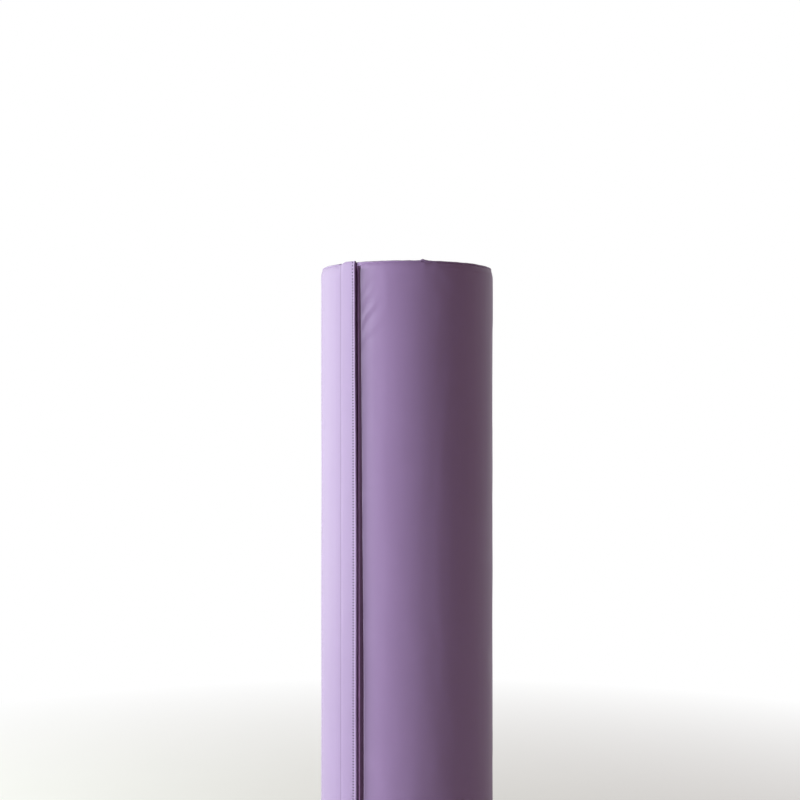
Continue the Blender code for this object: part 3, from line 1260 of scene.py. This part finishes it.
    def piping(self, top: bool) -> Piece:
        """Makes the piping in the seam at a rim.

        Args:
            top: whether it is the upper rim.

        Returns:
            The piping. On the right it has the lapped joint that shows at the top.
        """
        sleeve = self.bench.sleeve
        word = "top" if top else "bottom"
        middle = sleeve.shoulder_point(sleeve.fit + sleeve.piping, sleeve.seam_turn)
        sides, start = 12, sleeve.half_gap + 0.55
        bm = bmesh.new()
        bmesh.ops.create_circle(bm, segments=sides, radius=sleeve.piping)
        upright = Matrix.Translation((0.0, -middle[0], 0.0)) @ Matrix.Rotation(math.pi / 2.0, 4, "Y")
        bmesh.ops.transform(bm, matrix=upright, verts=bm.verts)
        turn = Matrix.Rotation(math.radians(self.side.value * start), 3, "Z")
        bmesh.ops.rotate(bm, verts=bm.verts, cent=(0, 0, 0), matrix=turn)
        sweep = math.radians(self.side.value * (180.0 - 2.0 * start))
        bmesh.ops.spin(bm, geom=[*bm.verts, *bm.edges], cent=(0, 0, 0), axis=(0, 0, 1), angle=sweep, steps=240)
        bmesh.ops.holes_fill(bm, edges=bm.edges, sides=sides)
        for cap in [face for face in bm.faces if len(face.verts) == sides]:
            bmesh.ops.inset_individual(bm, faces=[cap], thickness=0.6 * MM)
            bmesh.ops.translate(bm, vec=(-self.side.value * 0.7 * MM, 0.0, 0.0), verts=list(cap.verts))
        bmesh.ops.recalc_face_normals(bm, faces=bm.faces)
        mesh = mesh_of(bm)
        radius, angle, height = polar(points_of(mesh))
        across = np.radians(angle) * middle[0]
        out_r, out_z = radius - middle[0], height
        swell = 1.0 + 0.05 * Waves(51 + self.side.value + int(top), 0.02, 0.3).at(across, 0.0)
        lift = 0.22 * MM * Waves(55 + self.side.value + int(top), 0.045, 0.3).at(across, 0.0)
        if top and self.side is Side.RIGHT:
            joint = math.radians(sleeve.joint) * middle[0]
            lift += 1.9 * MM * bump(across, joint - 1.5 * MM, 3.0 * MM)
            lift += 0.7 * MM * bump(across, joint + 4.0 * MM, 4.0 * MM)
            swell += 0.25 * bump(across, joint, 4.5 * MM)
        level = middle[1] + lift + out_z * swell
        if not top:
            level = sleeve.height - (middle[1] - np.abs(lift) * 0.3 + out_z * swell)
        move_to(mesh, sleeve.wrap(angle, middle[0] + out_r * swell, level, self.side))
        if not top:
            mesh.flip_normals()
        keep_flat(mesh, across, np.arctan2(out_z, out_r) * sleeve.piping)
        # Painted shade: the piping's upper side is darker, standing in for the shade on its top.
        mark(mesh, seam=smooth((out_z / sleeve.piping - 0.3) / 0.5))
        return self._piece(f"{word}_welt", f"{word}_piping", mesh, "vinyl")

    def edge_panel(self, front: bool) -> Piece:
        """Makes the flat panel that closes a long edge of the half.

        Args:
            front: whether it is the panel beside the flap.

        Returns:
            The panel.
        """
        sleeve = self.bench.sleeve
        word = "front" if front else "back"
        foot = 1.2 * MM
        border, end = 2.0 * MM, 25.0 * MM
        inner, outer = sleeve.foam_bore + border, sleeve.foam - border
        low, high = end, sleeve.height - end
        across = [(sleeve.foam_bore, inner, 0.5 * MM), (inner, outer, 2.6 * MM), (outer, sleeve.foam, 0.5 * MM)]
        rows = [(foot, low, 2.0 * MM), (low, high, 9.0 * MM), (high, sleeve.height - foot, 2.0 * MM)]
        mesh = Cut(across, rows).mesh()
        radius, height = flat_of(mesh)
        from_end = np.minimum(height, sleeve.height - height)
        level = sleeve.height - sleeve.shoulder[1]
        rise = np.clip((level - from_end) / (level - foot), 0.0, 1.0)
        reach = sleeve.foam - sleeve.shoulder_in * (1.0 - np.sqrt(1.0 - rise**2))
        share = (radius - sleeve.foam_bore) / (sleeve.foam - sleeve.foam_bore)
        radius = sleeve.foam_bore + share * (reach - sleeve.foam_bore)
        hollow = (0.25 + 0.12 * np.abs(Waves(61, 0.03, 0.09).at(radius, height))) * MM * np.sin(math.pi * share)
        base = 0.0 if front else 180.0
        away = math.radians(sleeve.half_gap) * sleeve.bore + hollow
        turned = np.degrees(away / radius)
        angle = self.side.value * (turned if front else base - turned)
        move_to(mesh, sleeve.wrap(angle, radius, height, self.side))
        halfway = np.abs(height - sleeve.height / 2.0) < 10.0 * MM
        width = float(np.ptp(np.hypot(*points_of(mesh)[halfway, :2].T)))
        turn_to(mesh, (-self.side.value, 0.0, 0.0))
        mark(mesh, seam=0.8 * np.exp(-np.minimum(share, 1.0 - share) * 16.0))
        mesh = sewn_up(mesh, sleeve.lining_cloth, boundary_smooth="PRESERVE_CORNERS")
        made = self._piece(f"{word}_gusset", f"{word}_panel", mesh, "vinyl")
        return made

    def foam(self) -> Piece:
        """Makes the foam that fills the half, with its outer corners rounded."""
        sleeve = self.bench.sleeve
        level, top = sleeve.shoulder[1], sleeve.height - sleeve.cloth - sleeve.fit
        rounded = [sleeve.shoulder_point(-0.4 * MM, turn) for turn in np.linspace(0.0, 90.0, 9)]
        low = [(radius, sleeve.height - height) for radius, height in reversed(rounded)]
        outline = [*rounded, *low, (sleeve.foam_bore, sleeve.height - top), (sleeve.foam_bore, top)]
        bm = bmesh.new()
        section = bm.faces.new([bm.verts.new((0.0, -radius, height)) for radius, height in outline])
        start = sleeve.half_gap + 0.75
        turn = math.radians(self.side.value * start)
        bmesh.ops.rotate(bm, verts=bm.verts, cent=(0, 0, 0), matrix=Matrix.Rotation(turn, 3, "Z"))
        geom = [section, *section.edges, *section.verts]
        sweep = math.radians(self.side.value * (180.0 - 2.0 * start))
        bmesh.ops.spin(bm, geom=geom, cent=(0, 0, 0), axis=(0, 0, 1), angle=sweep, steps=150)
        rows = 60
        for number in range(1, rows):
            cut_at = sleeve.height - level + (2.0 * level - sleeve.height) * number / rows
            geom = [*bm.verts, *bm.edges, *bm.faces]
            bmesh.ops.bisect_plane(bm, geom=geom, plane_co=(0, 0, cut_at), plane_no=(0, 0, 1))
        bmesh.ops.recalc_face_normals(bm, faces=bm.faces)
        mesh = mesh_of(bm)
        radius, angle, height = polar(points_of(mesh))
        rough = 0.12 * MM * Waves(71, 0.013, 0.013).at(np.radians(angle) * radius, height)
        outer = radius > sleeve.foam - 1.0 * MM
        move_to(mesh, sleeve.wrap(angle, radius - np.abs(rough) * outer, height, self.side))
        made = self._piece("foam", "foam_block", mesh, "foam")
        return made

    def build(self) -> None:
        """Makes every piece of the half."""
        sleeve = self.bench.sleeve
        self.cover()
        self.foam()
        self.lining()
        for top in (True, False):
            self.end_band(top)
            self.piping(top)
        for front in (True, False):
            self.edge_panel(front)
        hinge = self.side.value * (math.pi * sleeve.cover - sleeve.hinge_row)
        StitchRow(f"{self.word}_hinge", hinge, self.body).build(self.bench)
        LOG.info("%s half done", self.word)


@dataclass(frozen=True)
class HingeSeam:
    """The sewn fold down the back: a corded bead with a strip of vinyl under it that joins the halves."""

    bench: Bench
    radius: float = 2.0 * MM
    short: float = 0.8 * MM
    strip_reach: float = 7.0 * MM

    def bead(self) -> Piece:
        """Makes the bead on the hinge's axis."""
        sleeve = self.bench.sleeve
        level = sleeve.shoulder[1]
        sides, steps, cap_rise = 14, 180, 0.7 * MM
        bm = bmesh.new()
        bmesh.ops.create_circle(bm, segments=sides, radius=self.radius, cap_ends=False)
        bmesh.ops.translate(bm, vec=(0.0, sleeve.hinge, sleeve.height - level + self.short), verts=bm.verts)
        rise = (2.0 * level - sleeve.height - 2.0 * self.short) / steps
        geom = [*bm.verts, *bm.edges]
        bmesh.ops.spin(bm, geom=geom, cent=(0, 0, 0), axis=(0, 0, 1), dvec=(0.0, 0.0, rise), angle=0.0, steps=steps)
        bmesh.ops.holes_fill(bm, edges=bm.edges, sides=sides)
        for cap in [face for face in bm.faces if len(face.verts) == sides]:
            up = 1.0 if cap.calc_center_median().z > level / 2.0 else -1.0
            bmesh.ops.inset_individual(bm, faces=[cap], thickness=cap_rise)
            bmesh.ops.translate(bm, vec=(0.0, 0.0, cap_rise * up), verts=list(cap.verts))
        bmesh.ops.recalc_face_normals(bm, faces=bm.faces)
        mesh = mesh_of(bm)
        places = points_of(mesh)
        steady = 0.12 * MM
        height = places[:, 2]
        places[:, 0] += steady * Waves(81, 0.2, 0.08).at(0.0, height)
        places[:, 1] += steady * 0.5 * Waves(82, 0.2, 0.05).at(0.0, height)
        move_to(mesh, places)
        round_it = np.arctan2(places[:, 0], places[:, 1] - sleeve.hinge) * self.radius
        keep_flat(mesh, round_it, height)
        inward = np.clip(-(places[:, 1] - sleeve.hinge) / self.radius, 0.0, 1.0)
        # Painted shade on the bead's side that faces into the sleeve, between the panels.
        mark(mesh, seam=inward * 0.6)
        return self.bench.piece("hinge_piping", mesh, "vinyl", "hinge_bead", "left_half")

    def strip(self) -> Piece:
        """Makes the strip that joins the halves at the back, left unattached to either half."""
        sleeve = self.bench.sleeve
        level = sleeve.shoulder[1]
        low = sleeve.height - level - 6.0 * MM
        reach = self.strip_reach
        fold = 3.0 * MM
        across = [(-reach, -fold, 1.0 * MM), (-fold, fold, 0.4 * MM), (fold, reach, 1.0 * MM)]
        cut = Cut(across, [(low, sleeve.height - low, 12.0 * MM)])
        mesh = cut.mesh()
        u, height = flat_of(mesh)
        angle = 180.0 + np.degrees(u / sleeve.cover)
        radius = sleeve.cover - sleeve.cloth - 0.15 * MM - 0.25 * MM * np.abs(u) / reach
        move_to(mesh, sleeve.wrap(angle, radius, height, Side.LEFT))
        turn_to(mesh, (0.0, 1.0, 0.0))
        mark(mesh, seam=bump(u, 0.0, 3.0 * MM) * 0.5)
        mesh = finished(mesh, SOLIDIFY={"thickness": 0.6 * MM, "offset": -1.0})
        made = self.bench.piece("hinge_strip", mesh, "vinyl", None, None)
        fold = 2.2 * MM
        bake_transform(made)
        cut.flat
        return made

    def build(self) -> None:
        """Makes the hinge seam."""
        self.bead()
        self.strip()
        LOG.info("hinge seam done")


@dataclass(frozen=True)
class ClosureTape:
    """A strip of hook or loop tape: a ribbed ground with its pile."""

    bench: Bench
    kind: Tape
    lay: Lay | None = None
    ground: float = 0.5 * MM
    selvedge: float = 1.4 * MM
    hook_pitch: float = 2.1 * MM
    loops: int = 190

    def _base_radius(self, across: Array, height: Array) -> Array:
        """The radius of the tape's face that is sewn down.

        Args:
            across: metres from the closure, on the cover's outer face.
            height: metres above the base.

        Returns:
            The radius at each point. The loop tape lies on the pressed-in cover, and the hook tape under the flap.
        """
        sleeve = self.bench.sleeve
        if self.kind is Tape.LOOP:
            pressed = sleeve.groove_depth(np.degrees(across / sleeve.cover), height)
            return sleeve.outer_radius(height) - pressed + sleeve.fit
        return np.full(len(height), sleeve.cover - sleeve.cloth - 2.0 * sleeve.fit - sleeve.lining_cloth)

    @property
    def _span(self) -> tuple[float, float, float]:
        """The tape's width, and the levels of its ends. The loop tape reaches beyond the flap's free edge."""
        sleeve = self.bench.sleeve
        low, high = sleeve.sewn
        if self.kind is Tape.LOOP:
            return sleeve.loop_end - sleeve.tape_start, sleeve.loop_top, sleeve.height - sleeve.loop_top
        return sleeve.tape_width, low, high

    def _aslant(self, share: Array, height: Array) -> tuple[Array, float]:
        """How far the loop tape's points move round, as its far side is sewn a little aslant."""
        sleeve = self.bench.sleeve
        return (sleeve.loop_edge(sleeve.height - height) - sleeve.loop_end) * share, 0.0

    def _hook(self) -> BMesh:
        """One hook: a three-sided wire that bends over at its tip."""
        bm = bmesh.new()
        tall = 0.42 * MM
        bmesh.ops.create_circle(bm, segments=3, radius=0.16 * MM)
        geom = [*bm.verts, *bm.edges]
        rise = bmesh.ops.spin(bm, geom=geom, cent=(0, 0, 0), axis=(1, 0, 0), dvec=(0, 0, tall), angle=0.0, steps=1)
        middle, turn = (0.0, 0.3 * MM, tall), -math.radians(150.0)
        bmesh.ops.spin(bm, geom=rise["geom_last"], cent=middle, axis=(1, 0, 0), angle=turn, steps=3)
        return bm

    def _loop(self, bm: BMesh, dice: random.Random, patch: float, width: float) -> None:
        """Adds one loop of the pile at a random place and turn."""
        made = bmesh.ops.create_circle(bm, segments=3, radius=0.09 * MM)["verts"]
        size = dice.uniform(0.22, 0.4) * MM
        edges = list({edge for vert in made for edge in vert.link_edges})
        bmesh.ops.translate(bm, vec=(-size, 0.0, 0.0), verts=made)
        before = set(bm.verts)
        bmesh.ops.spin(bm, geom=[*made, *edges], cent=(0, 0, 0), axis=(0, 1, 0), angle=math.pi, steps=4)
        verts = [*made, *(vert for vert in bm.verts if vert not in before)]
        turn = Matrix.Rotation(dice.uniform(0.0, math.pi), 3, "Z") @ Matrix.Rotation(dice.gauss(0.0, 0.45), 3, "X")
        bmesh.ops.rotate(bm, verts=verts, cent=(0, 0, 0), matrix=turn)
        place = (dice.uniform(self.selvedge, width - self.selvedge), dice.uniform(0.0, patch), 0.0)
        bmesh.ops.translate(bm, vec=place, verts=verts)

    def _pile(self, width: float, length: float) -> BMesh:
        """The pile over the whole tape, flat: across in x, along in y and up in z."""
        if self.kind is Tape.HOOK:
            bm = self._hook()
            bmesh.ops.translate(bm, vec=(self.selvedge + 0.6 * MM, 0.0, 0.0), verts=bm.verts)
            side = 3
            repeat(bm, ((width - 2.0 * self.selvedge - 1.2 * MM) / (side * side - 1), 0.0, 0.0), side)
            side = round(math.sqrt(length / self.hook_pitch))
            repeat(bm, (0.0, length / side**2, 0.0), side)
            return bm
        side = 7
        patch = length / side**2
        bm = bmesh.new()
        dice = random.Random(7)
        for _ in range(self.loops):
            self._loop(bm, dice, patch, width)
        repeat(bm, (0.0, patch, 0.0), side)
        return bm

    def build(self) -> Piece:
        """Makes the tape with its pile as one piece."""
        sleeve = self.bench.sleeve
        width, low, high = self._span
        length = high - low - 1.0 * MM
        inner = width - self.selvedge
        across = [(0.0, self.selvedge, 0.35 * MM), (self.selvedge, inner, 1.5 * MM), (inner, width, 0.35 * MM)]
        ground = Cut(across, [(0.0, length, 4.0 * MM)]).mesh()
        places = points_of(ground)
        from_edge = np.minimum(places[:, 0], width - places[:, 0])
        places[:, 2] = self.ground - 0.15 * MM * bump(from_edge, self.selvedge, 0.35 * MM)
        places[:, 2] += 0.05 * MM * Waves(91, 0.006, 0.03).at(places[:, 0], places[:, 1])
        move_to(ground, places)
        ground.attributes.remove(ground.attributes["flat"])
        ground = finished(ground, SOLIDIFY={"thickness": self.ground, "offset": -1.0})
        bm = self._pile(width, length)
        bmesh.ops.translate(bm, vec=(0.0, 0.7 * MM, self.ground - 0.05 * MM), verts=bm.verts)
        bm.from_mesh(ground)
        bpy.data.meshes.remove(ground)
        tape = self.kind.value
        mesh = mesh_of(bm)
        flat = points_of(mesh)
        across, height = sleeve.tape_start + flat[:, 0], low + flat[:, 1]
        keep_flat(mesh, across, height)
        # Painted light: the share of the lighter tape colour, under the flap and in its shadow just past its edge (the
        # hook tape's two colours are the same).
        mark(mesh, seam=1.0 - smooth((across - sleeve.flap_edge - 0.8 * MM) / (2.4 * MM)))
        outward = 1.0 if self.kind is Tape.LOOP else -1.0
        drawn, proud = self.lay(across, height) if self.lay else self._aslant(flat[:, 0] / width, height)
        radius = self._base_radius(across + drawn, height) + outward * flat[:, 2] + proud
        move_to(mesh, sleeve.wrap(np.degrees((across + drawn) / sleeve.cover), radius, height, Side.LEFT))
        if outward < 0.0:
            mesh.flip_normals()
        body = "flap" if self.kind is Tape.HOOK else "right_half"
        return self.bench.piece(f"{tape}_strip", mesh, tape, tape, body)


@dataclass(frozen=True)
class Flap:
    """The closing flap: an outer panel with a folded hem, an inner panel, its hook tape and two rows of stitching."""

    bench: Bench
    hem_radius: float = 1.45 * MM
    hem_return: float = 3.6 * MM
    top_rise: float = 3.4 * MM
    crease: float = 3.4 * MM

    def _across_path(self) -> Path:
        """The line over the outer panel, from its root to the end of its hem, as place across and place out."""
        sleeve = self.bench.sleeve
        nose = sleeve.flap_edge - self.hem_radius
        root = [(-0.12 * MM, -0.04 * MM), (0.1 * MM, 0.0), (0.4 * MM, 0.0), (0.8 * MM, 0.0)]
        face = [(float(u), 0.0) for u in np.linspace(1.6 * MM, nose, 40)]
        turns = np.linspace(math.pi / 2.0, -math.pi / 2.0, 11)[1:]
        fold = [(nose + self.hem_radius * math.cos(a), self.hem_radius * (math.sin(a) - 1.0)) for a in turns]
        back = [(nose - self.hem_return * s, -2.0 * self.hem_radius) for s in (0.35, 0.7, 1.0)]
        return Path([*root, *face, *fold, *back])

    def _end_bend(self, height: Array, out: Array) -> tuple[Array, Array]:
        """Bends the flap's ends in over the shoulders.

        Args:
            height: the level of each point before the bend, in metres.
            out: metres off the sleeve's outer radius.

        Returns:
            The radius and height of each point.
        """
        sleeve = self.bench.sleeve
        level = sleeve.shoulder[1]
        reach, drop = 2.5 * MM, sleeve.height - 0.6 * MM - level
        turns = np.radians(np.linspace(90.0, 25.0, 16))
        top = [(sleeve.cover - reach + reach * math.sin(a), level + drop * math.cos(a)) for a in turns]
        low = [(radius, sleeve.height - z) for radius, z in reversed(top)]
        line = Path([*low, *[(sleeve.cover, float(z)) for z in np.linspace(low[-1][1], level, 30)[1:-1]], *top])
        middle = sleeve.height / 2.0
        along = np.clip(height - middle + line.length / 2.0, 0.0, line.length)
        return line.at(along, -out)

    def _shape(self, mesh: Mesh, u: Array, out: Array, height: Array) -> None:
        """Puts the flap's points in place, with its uneven free edge.

        Args:
            mesh: the mesh to shape.
            u: metres from the root.
            out: metres off the cover's outer face.
            height: the level before the ends are bent in.
        """
        sleeve = self.bench.sleeve
        drawn, proud = self._laid(u, height)
        rows = 0.18 * MM * bump(u, self.crease, 0.9 * MM) + 0.24 * MM * bump(u, sleeve.tape_row, 1.5 * MM)
        hem = 0.78 * MM * bump(u, sleeve.flap_edge - 1.3 * MM, 1.7 * MM)
        ridge = 0.30 * MM * smooth((u - self.crease - 3.0 * MM) / (2.8 * MM)) + hem
        radius, level = self._end_bend(height, out + proud + (ridge - rows) * smooth(1.0 + out / (1.4 * MM)))
        near_top = smooth((height - sleeve.height + 30.0 * MM) / (30.0 * MM))
        level += self.top_rise * smooth(u / sleeve.flap_edge * 2.2) * near_top
        move_to(mesh, sleeve.wrap(np.degrees((u + drawn) / sleeve.cover), radius, level, Side.LEFT))

    def _laid(self, u: Array, height: Array) -> tuple[Array, Array]:
        """How the closed flap lies.

        Args:
            u: metres from the root.
            height: metres above the base.

        Returns:
            How far each point is drawn across, and how far it stands proud of the sleeve's outer radius.
        """
        share = np.clip(u / self.bench.sleeve.flap_edge, 0.0, 1.0)
        below = self.bench.sleeve.height - height
        drawn = 2.6 * MM * smooth((below - 40.0 * MM) / (350.0 * MM)) - 0.9 * MM * bump(below, 0.0, 9.0 * MM)
        drawn -= 0.45 * MM
        drawn += 0.35 * MM * Waves(101, 0.5, 0.19).at(0.0, height)
        lifted = 0.35 * MM * bump(below, 16.0 * MM, 22.0 * MM) + 0.12 * MM * Waves(102, 0.5, 0.07).at(0.0, height)
        swell = 0.10 * MM * Waves(103, 0.03, 0.12).at(u, height) * smooth(share * 4.0)
        puffed = 0.28 * MM * np.sin(math.pi * share) ** 2
        return drawn * share**6, lifted * smooth((share - 0.25) / 0.75) + swell + puffed

    def outer(self) -> Piece:
        """Makes the outer panel."""
        sleeve = self.bench.sleeve
        path = self._across_path()
        line = 18.0 * MM
        nose = sleeve.flap_edge - self.hem_radius
        before, after = nose - 0.6 * MM, nose + 5.2 * MM
        across = [(0.0, 1.2 * MM, 0.4 * MM), (1.2 * MM, 10.0 * MM, 0.8 * MM), (10.0 * MM, 26.0 * MM, 1.6 * MM)]
        across += [(26.0 * MM, before, 0.7 * MM), (before, after, 0.45 * MM), (after, path.length, 0.8 * MM)]
        foot, top = 2.0 * MM, sleeve.height - line
        rows = [(foot, line, 1.6 * MM), (line, top - 60.0 * MM, 6.0 * MM)]
        rows += [(top - 60.0 * MM, top, 3.0 * MM), (top, sleeve.height - foot, 1.4 * MM)]
        cut = Cut(across, rows)
        mesh = cut.mesh()
        s, height = flat_of(mesh)
        u, out = path.at(s, np.zeros(len(s)))
        self._shape(mesh, u, out, height)
        turn_to(mesh, points_of(mesh) * ROUND)
        root, edge = bump(s, self.crease + 0.2 * MM, 0.9 * MM), bump(s, sleeve.tape_row + 0.2 * MM, 1.4 * MM)
        ends = np.exp(-np.minimum(height - foot, sleeve.height - foot - height) / (1.2 * MM))
        mark(mesh, seam=0.9 * root + 0.5 * ends, row=0.4 * root + edge)
        mesh = sewn_up(mesh, sleeve.cloth, boundary_smooth="PRESERVE_CORNERS")
        made = self.bench.piece("flap_outer_panel", mesh, "vinyl", "flap_cover", None)
        self._hang(made)
        cut.flat
        return made

    def _hang(self, made: Piece) -> None:
        """Bakes the panel's place into its mesh."""
        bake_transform(made)

    def inner(self) -> Piece:
        """Makes the inner panel, which the hook tape is sewn to."""
        sleeve = self.bench.sleeve
        level = sleeve.shoulder[1]
        across = [(1.4 * MM, 5.0 * MM, 0.6 * MM), (5.0 * MM, 32.0 * MM, 3.0 * MM)]
        cut = Cut(across, [(sleeve.height - level, level, 7.0 * MM)])
        mesh = cut.mesh()
        u, height = flat_of(mesh)
        out = np.full(len(u), -sleeve.cloth - sleeve.fit - sleeve.lining_cloth)
        self._shape(mesh, u, out, height)
        turn_to(mesh, -points_of(mesh) * ROUND)
        mark(mesh, seam=bump(u, sleeve.flap_row, 1.5 * MM))
        mesh = sewn_up(mesh, sleeve.lining_cloth, boundary_smooth="PRESERVE_CORNERS")
        made = self.bench.piece("flap_inner_panel", mesh, "lining", "flap_facing", None)
        self._hang(made)
        cut.flat
        return made

    def build(self) -> None:
        """Makes every piece of the flap."""
        sleeve = self.bench.sleeve
        self.outer()
        self.inner()
        ClosureTape(self.bench, Tape.HOOK, self._laid).build()
        for name, place in (("root", sleeve.flap_row), ("edge", sleeve.tape_row)):
            StitchRow(f"flap_{name}", place, "flap").build(self.bench, self._laid)
        LOG.info("flap done")


@dataclass(frozen=True)
class Lamp:
    """A soft lamp that faces the pad."""

    name: str
    turn: float
    power: float
    colour: Colour = (1.0, 1.0, 1.0)
    size: tuple[float, float] = (1.6, 3.0)
    distance: float = 3.0
    level: float = 1.3

    def hang(self, studio: "Studio") -> None:
        """Hangs it in the studio."""
        data = bpy.data.lights.new(self.name, "AREA")
        data.shape = "RECTANGLE"
        data.size, data.size_y = self.size
        data.energy, data.color = self.power, self.colour
        made = placed(self.name, data)
        made.location = studio.toward(self.turn, self.distance, self.level)
        made.rotation_euler = (Vector((0.0, 0.0, 0.75)) - made.location).to_track_quat("-Z", "Y").to_euler()


@dataclass(frozen=True)
class Studio:
    """A plain pale floor, soft light from the left and the camera."""

    azimuth: float = 49.4
    distance: float = 1.87
    eye_level: float = 1.023
    lens: float = 55.9
    aim_left: float = 0.0103
    fill: Colour = (1.0, 0.63, 0.57)
    fill_strength: float = 0.19
    white_from: float = 0.7
    white_over: float = 2.0
    lamps: tuple[Lamp, ...] = (
        Lamp("front_left", -65.0, 160.0, (0.87, 0.945, 1.0)),
        Lamp("left", -95.0, 64.0, (0.88, 1.0, 0.80)),
        Lamp("back_left", -125.0, 35.0, (0.88, 1.0, 0.78)),
        Lamp("bounce", 95.0, 3.0, (1.0, 0.62, 0.55), (1.6, 2.4), 3.2, 0.9),
    )

    def toward(self, turn: float, distance: float, level: float) -> Vector:
        """A place seen from the sleeve at some degrees round from the camera."""
        angle = math.radians(self.azimuth + turn)
        return Vector((distance * math.sin(angle), -distance * math.cos(angle), level))

    def camera(self) -> None:
        """Sets the camera level, at the height of the pad's upper part."""
        data = bpy.data.cameras.new("camera")
        data.lens, data.sensor_width = self.lens, 36.0
        made = placed("camera", data)
        made.location = self.toward(0.0, self.distance, self.eye_level)
        angle = math.radians(self.azimuth)
        aim = Vector((-math.cos(angle) * self.aim_left, -math.sin(angle) * self.aim_left, self.eye_level))
        made.rotation_euler = (aim - made.location).to_track_quat("-Z", "Y").to_euler()
        bpy.context.scene.camera = made

    def world(self) -> None:
        """Lights the shadows a little, and shows white to the eye and in gloss."""
        world = bpy.data.worlds.new("studio")
        bpy.context.scene.world = world
        graph = Graph(world)
        dim = graph.node("ShaderNodeBackground", {}, {"Color": (*self.fill, 1.0), "Strength": self.fill_strength})
        bright = graph.node("ShaderNodeBackground", {}, {"Color": (1.0, 1.0, 1.0, 1.0), "Strength": 1.0})
        values = {0: self._seen(graph), 1: dim.outputs[0], 2: bright.outputs[0]}
        mix = graph.node("ShaderNodeMixShader", {}, values)
        graph.feed(graph.tree.nodes["World Output"].inputs["Surface"], mix.outputs[0])

    def _seen(self, graph: Graph) -> Value:
        """1 where the eye sees the background, straight on or in gloss or glass, and 0 where it only gives light."""
        rays = graph.node("ShaderNodeLightPath")
        kinds = [Value(graph, rays.outputs[f"Is {kind} Ray"]) for kind in ("Camera", "Glossy", "Transmission")]
        return (kinds[0] + kinds[1] + kinds[2]).held()

    def floor(self) -> None:
        """Lays the floor, which turns white far from the pad."""
        bm = bmesh.new()
        bmesh.ops.create_circle(bm, cap_ends=True, segments=96, radius=14.0)
        mesh = mesh_of(bm)
        graph = Graph.of_finish("floor")
        grain = graph.noise(0.25, 3.0)
        base = graph.mixed(grain.held(), (0.83, 0.83, 0.83), (0.87, 0.87, 0.87))
        graph.dress(Base_Color=base, Roughness=0.85, Specular_IOR_Level=0.1)
        length = graph.node("ShaderNodeVectorMath", {"operation": "LENGTH"}, {0: graph.place})
        far = ((Value(graph, length.outputs["Value"]) - self.white_from) * (1.0 / self.white_over)).held()
        share = self._seen(graph) * far
        white = graph.node("ShaderNodeEmission", {}, {"Color": (1.0, 1.0, 1.0, 1.0), "Strength": 1.0})
        values = {0: share, 1: graph.shader.outputs[0], 2: white.outputs[0]}
        mix = graph.node("ShaderNodeMixShader", {}, values)
        output = graph.tree.nodes["Material Output"]
        graph.feed(output.inputs["Surface"], mix.outputs[0])
        mesh.materials.append(graph.owner)
        placed("floor", mesh)

    def build(self) -> None:
        """Sets up the whole studio."""
        scene = bpy.context.scene
        scene.view_settings.view_transform = "Standard"
        self.world()
        self.floor()
        for lamp in self.lamps:
            lamp.hang(self)
        LOG.info("studio done")


def main() -> None:
    """Builds the studio and the pad."""
    logging.basicConfig(level=logging.INFO, format="%(message)s")
    studio = Studio()
    studio.camera()
    studio.build()
    sleeve = Sleeve.measured()
    bench = Bench(sleeve, materials(sleeve))
    for side in Side:
        HalfSleeve(bench, side, Swelling()).build()
    StitchRow("left_edge", -sleeve.cover_row, "left_half", sink=0.28 * MM).build(bench)
    HingeSeam(bench).build()
    ClosureTape(bench, Tape.LOOP).build()
    Flap(bench).build()
    LOG.info("boxes kept")


if __name__ == "__main__":
    main()
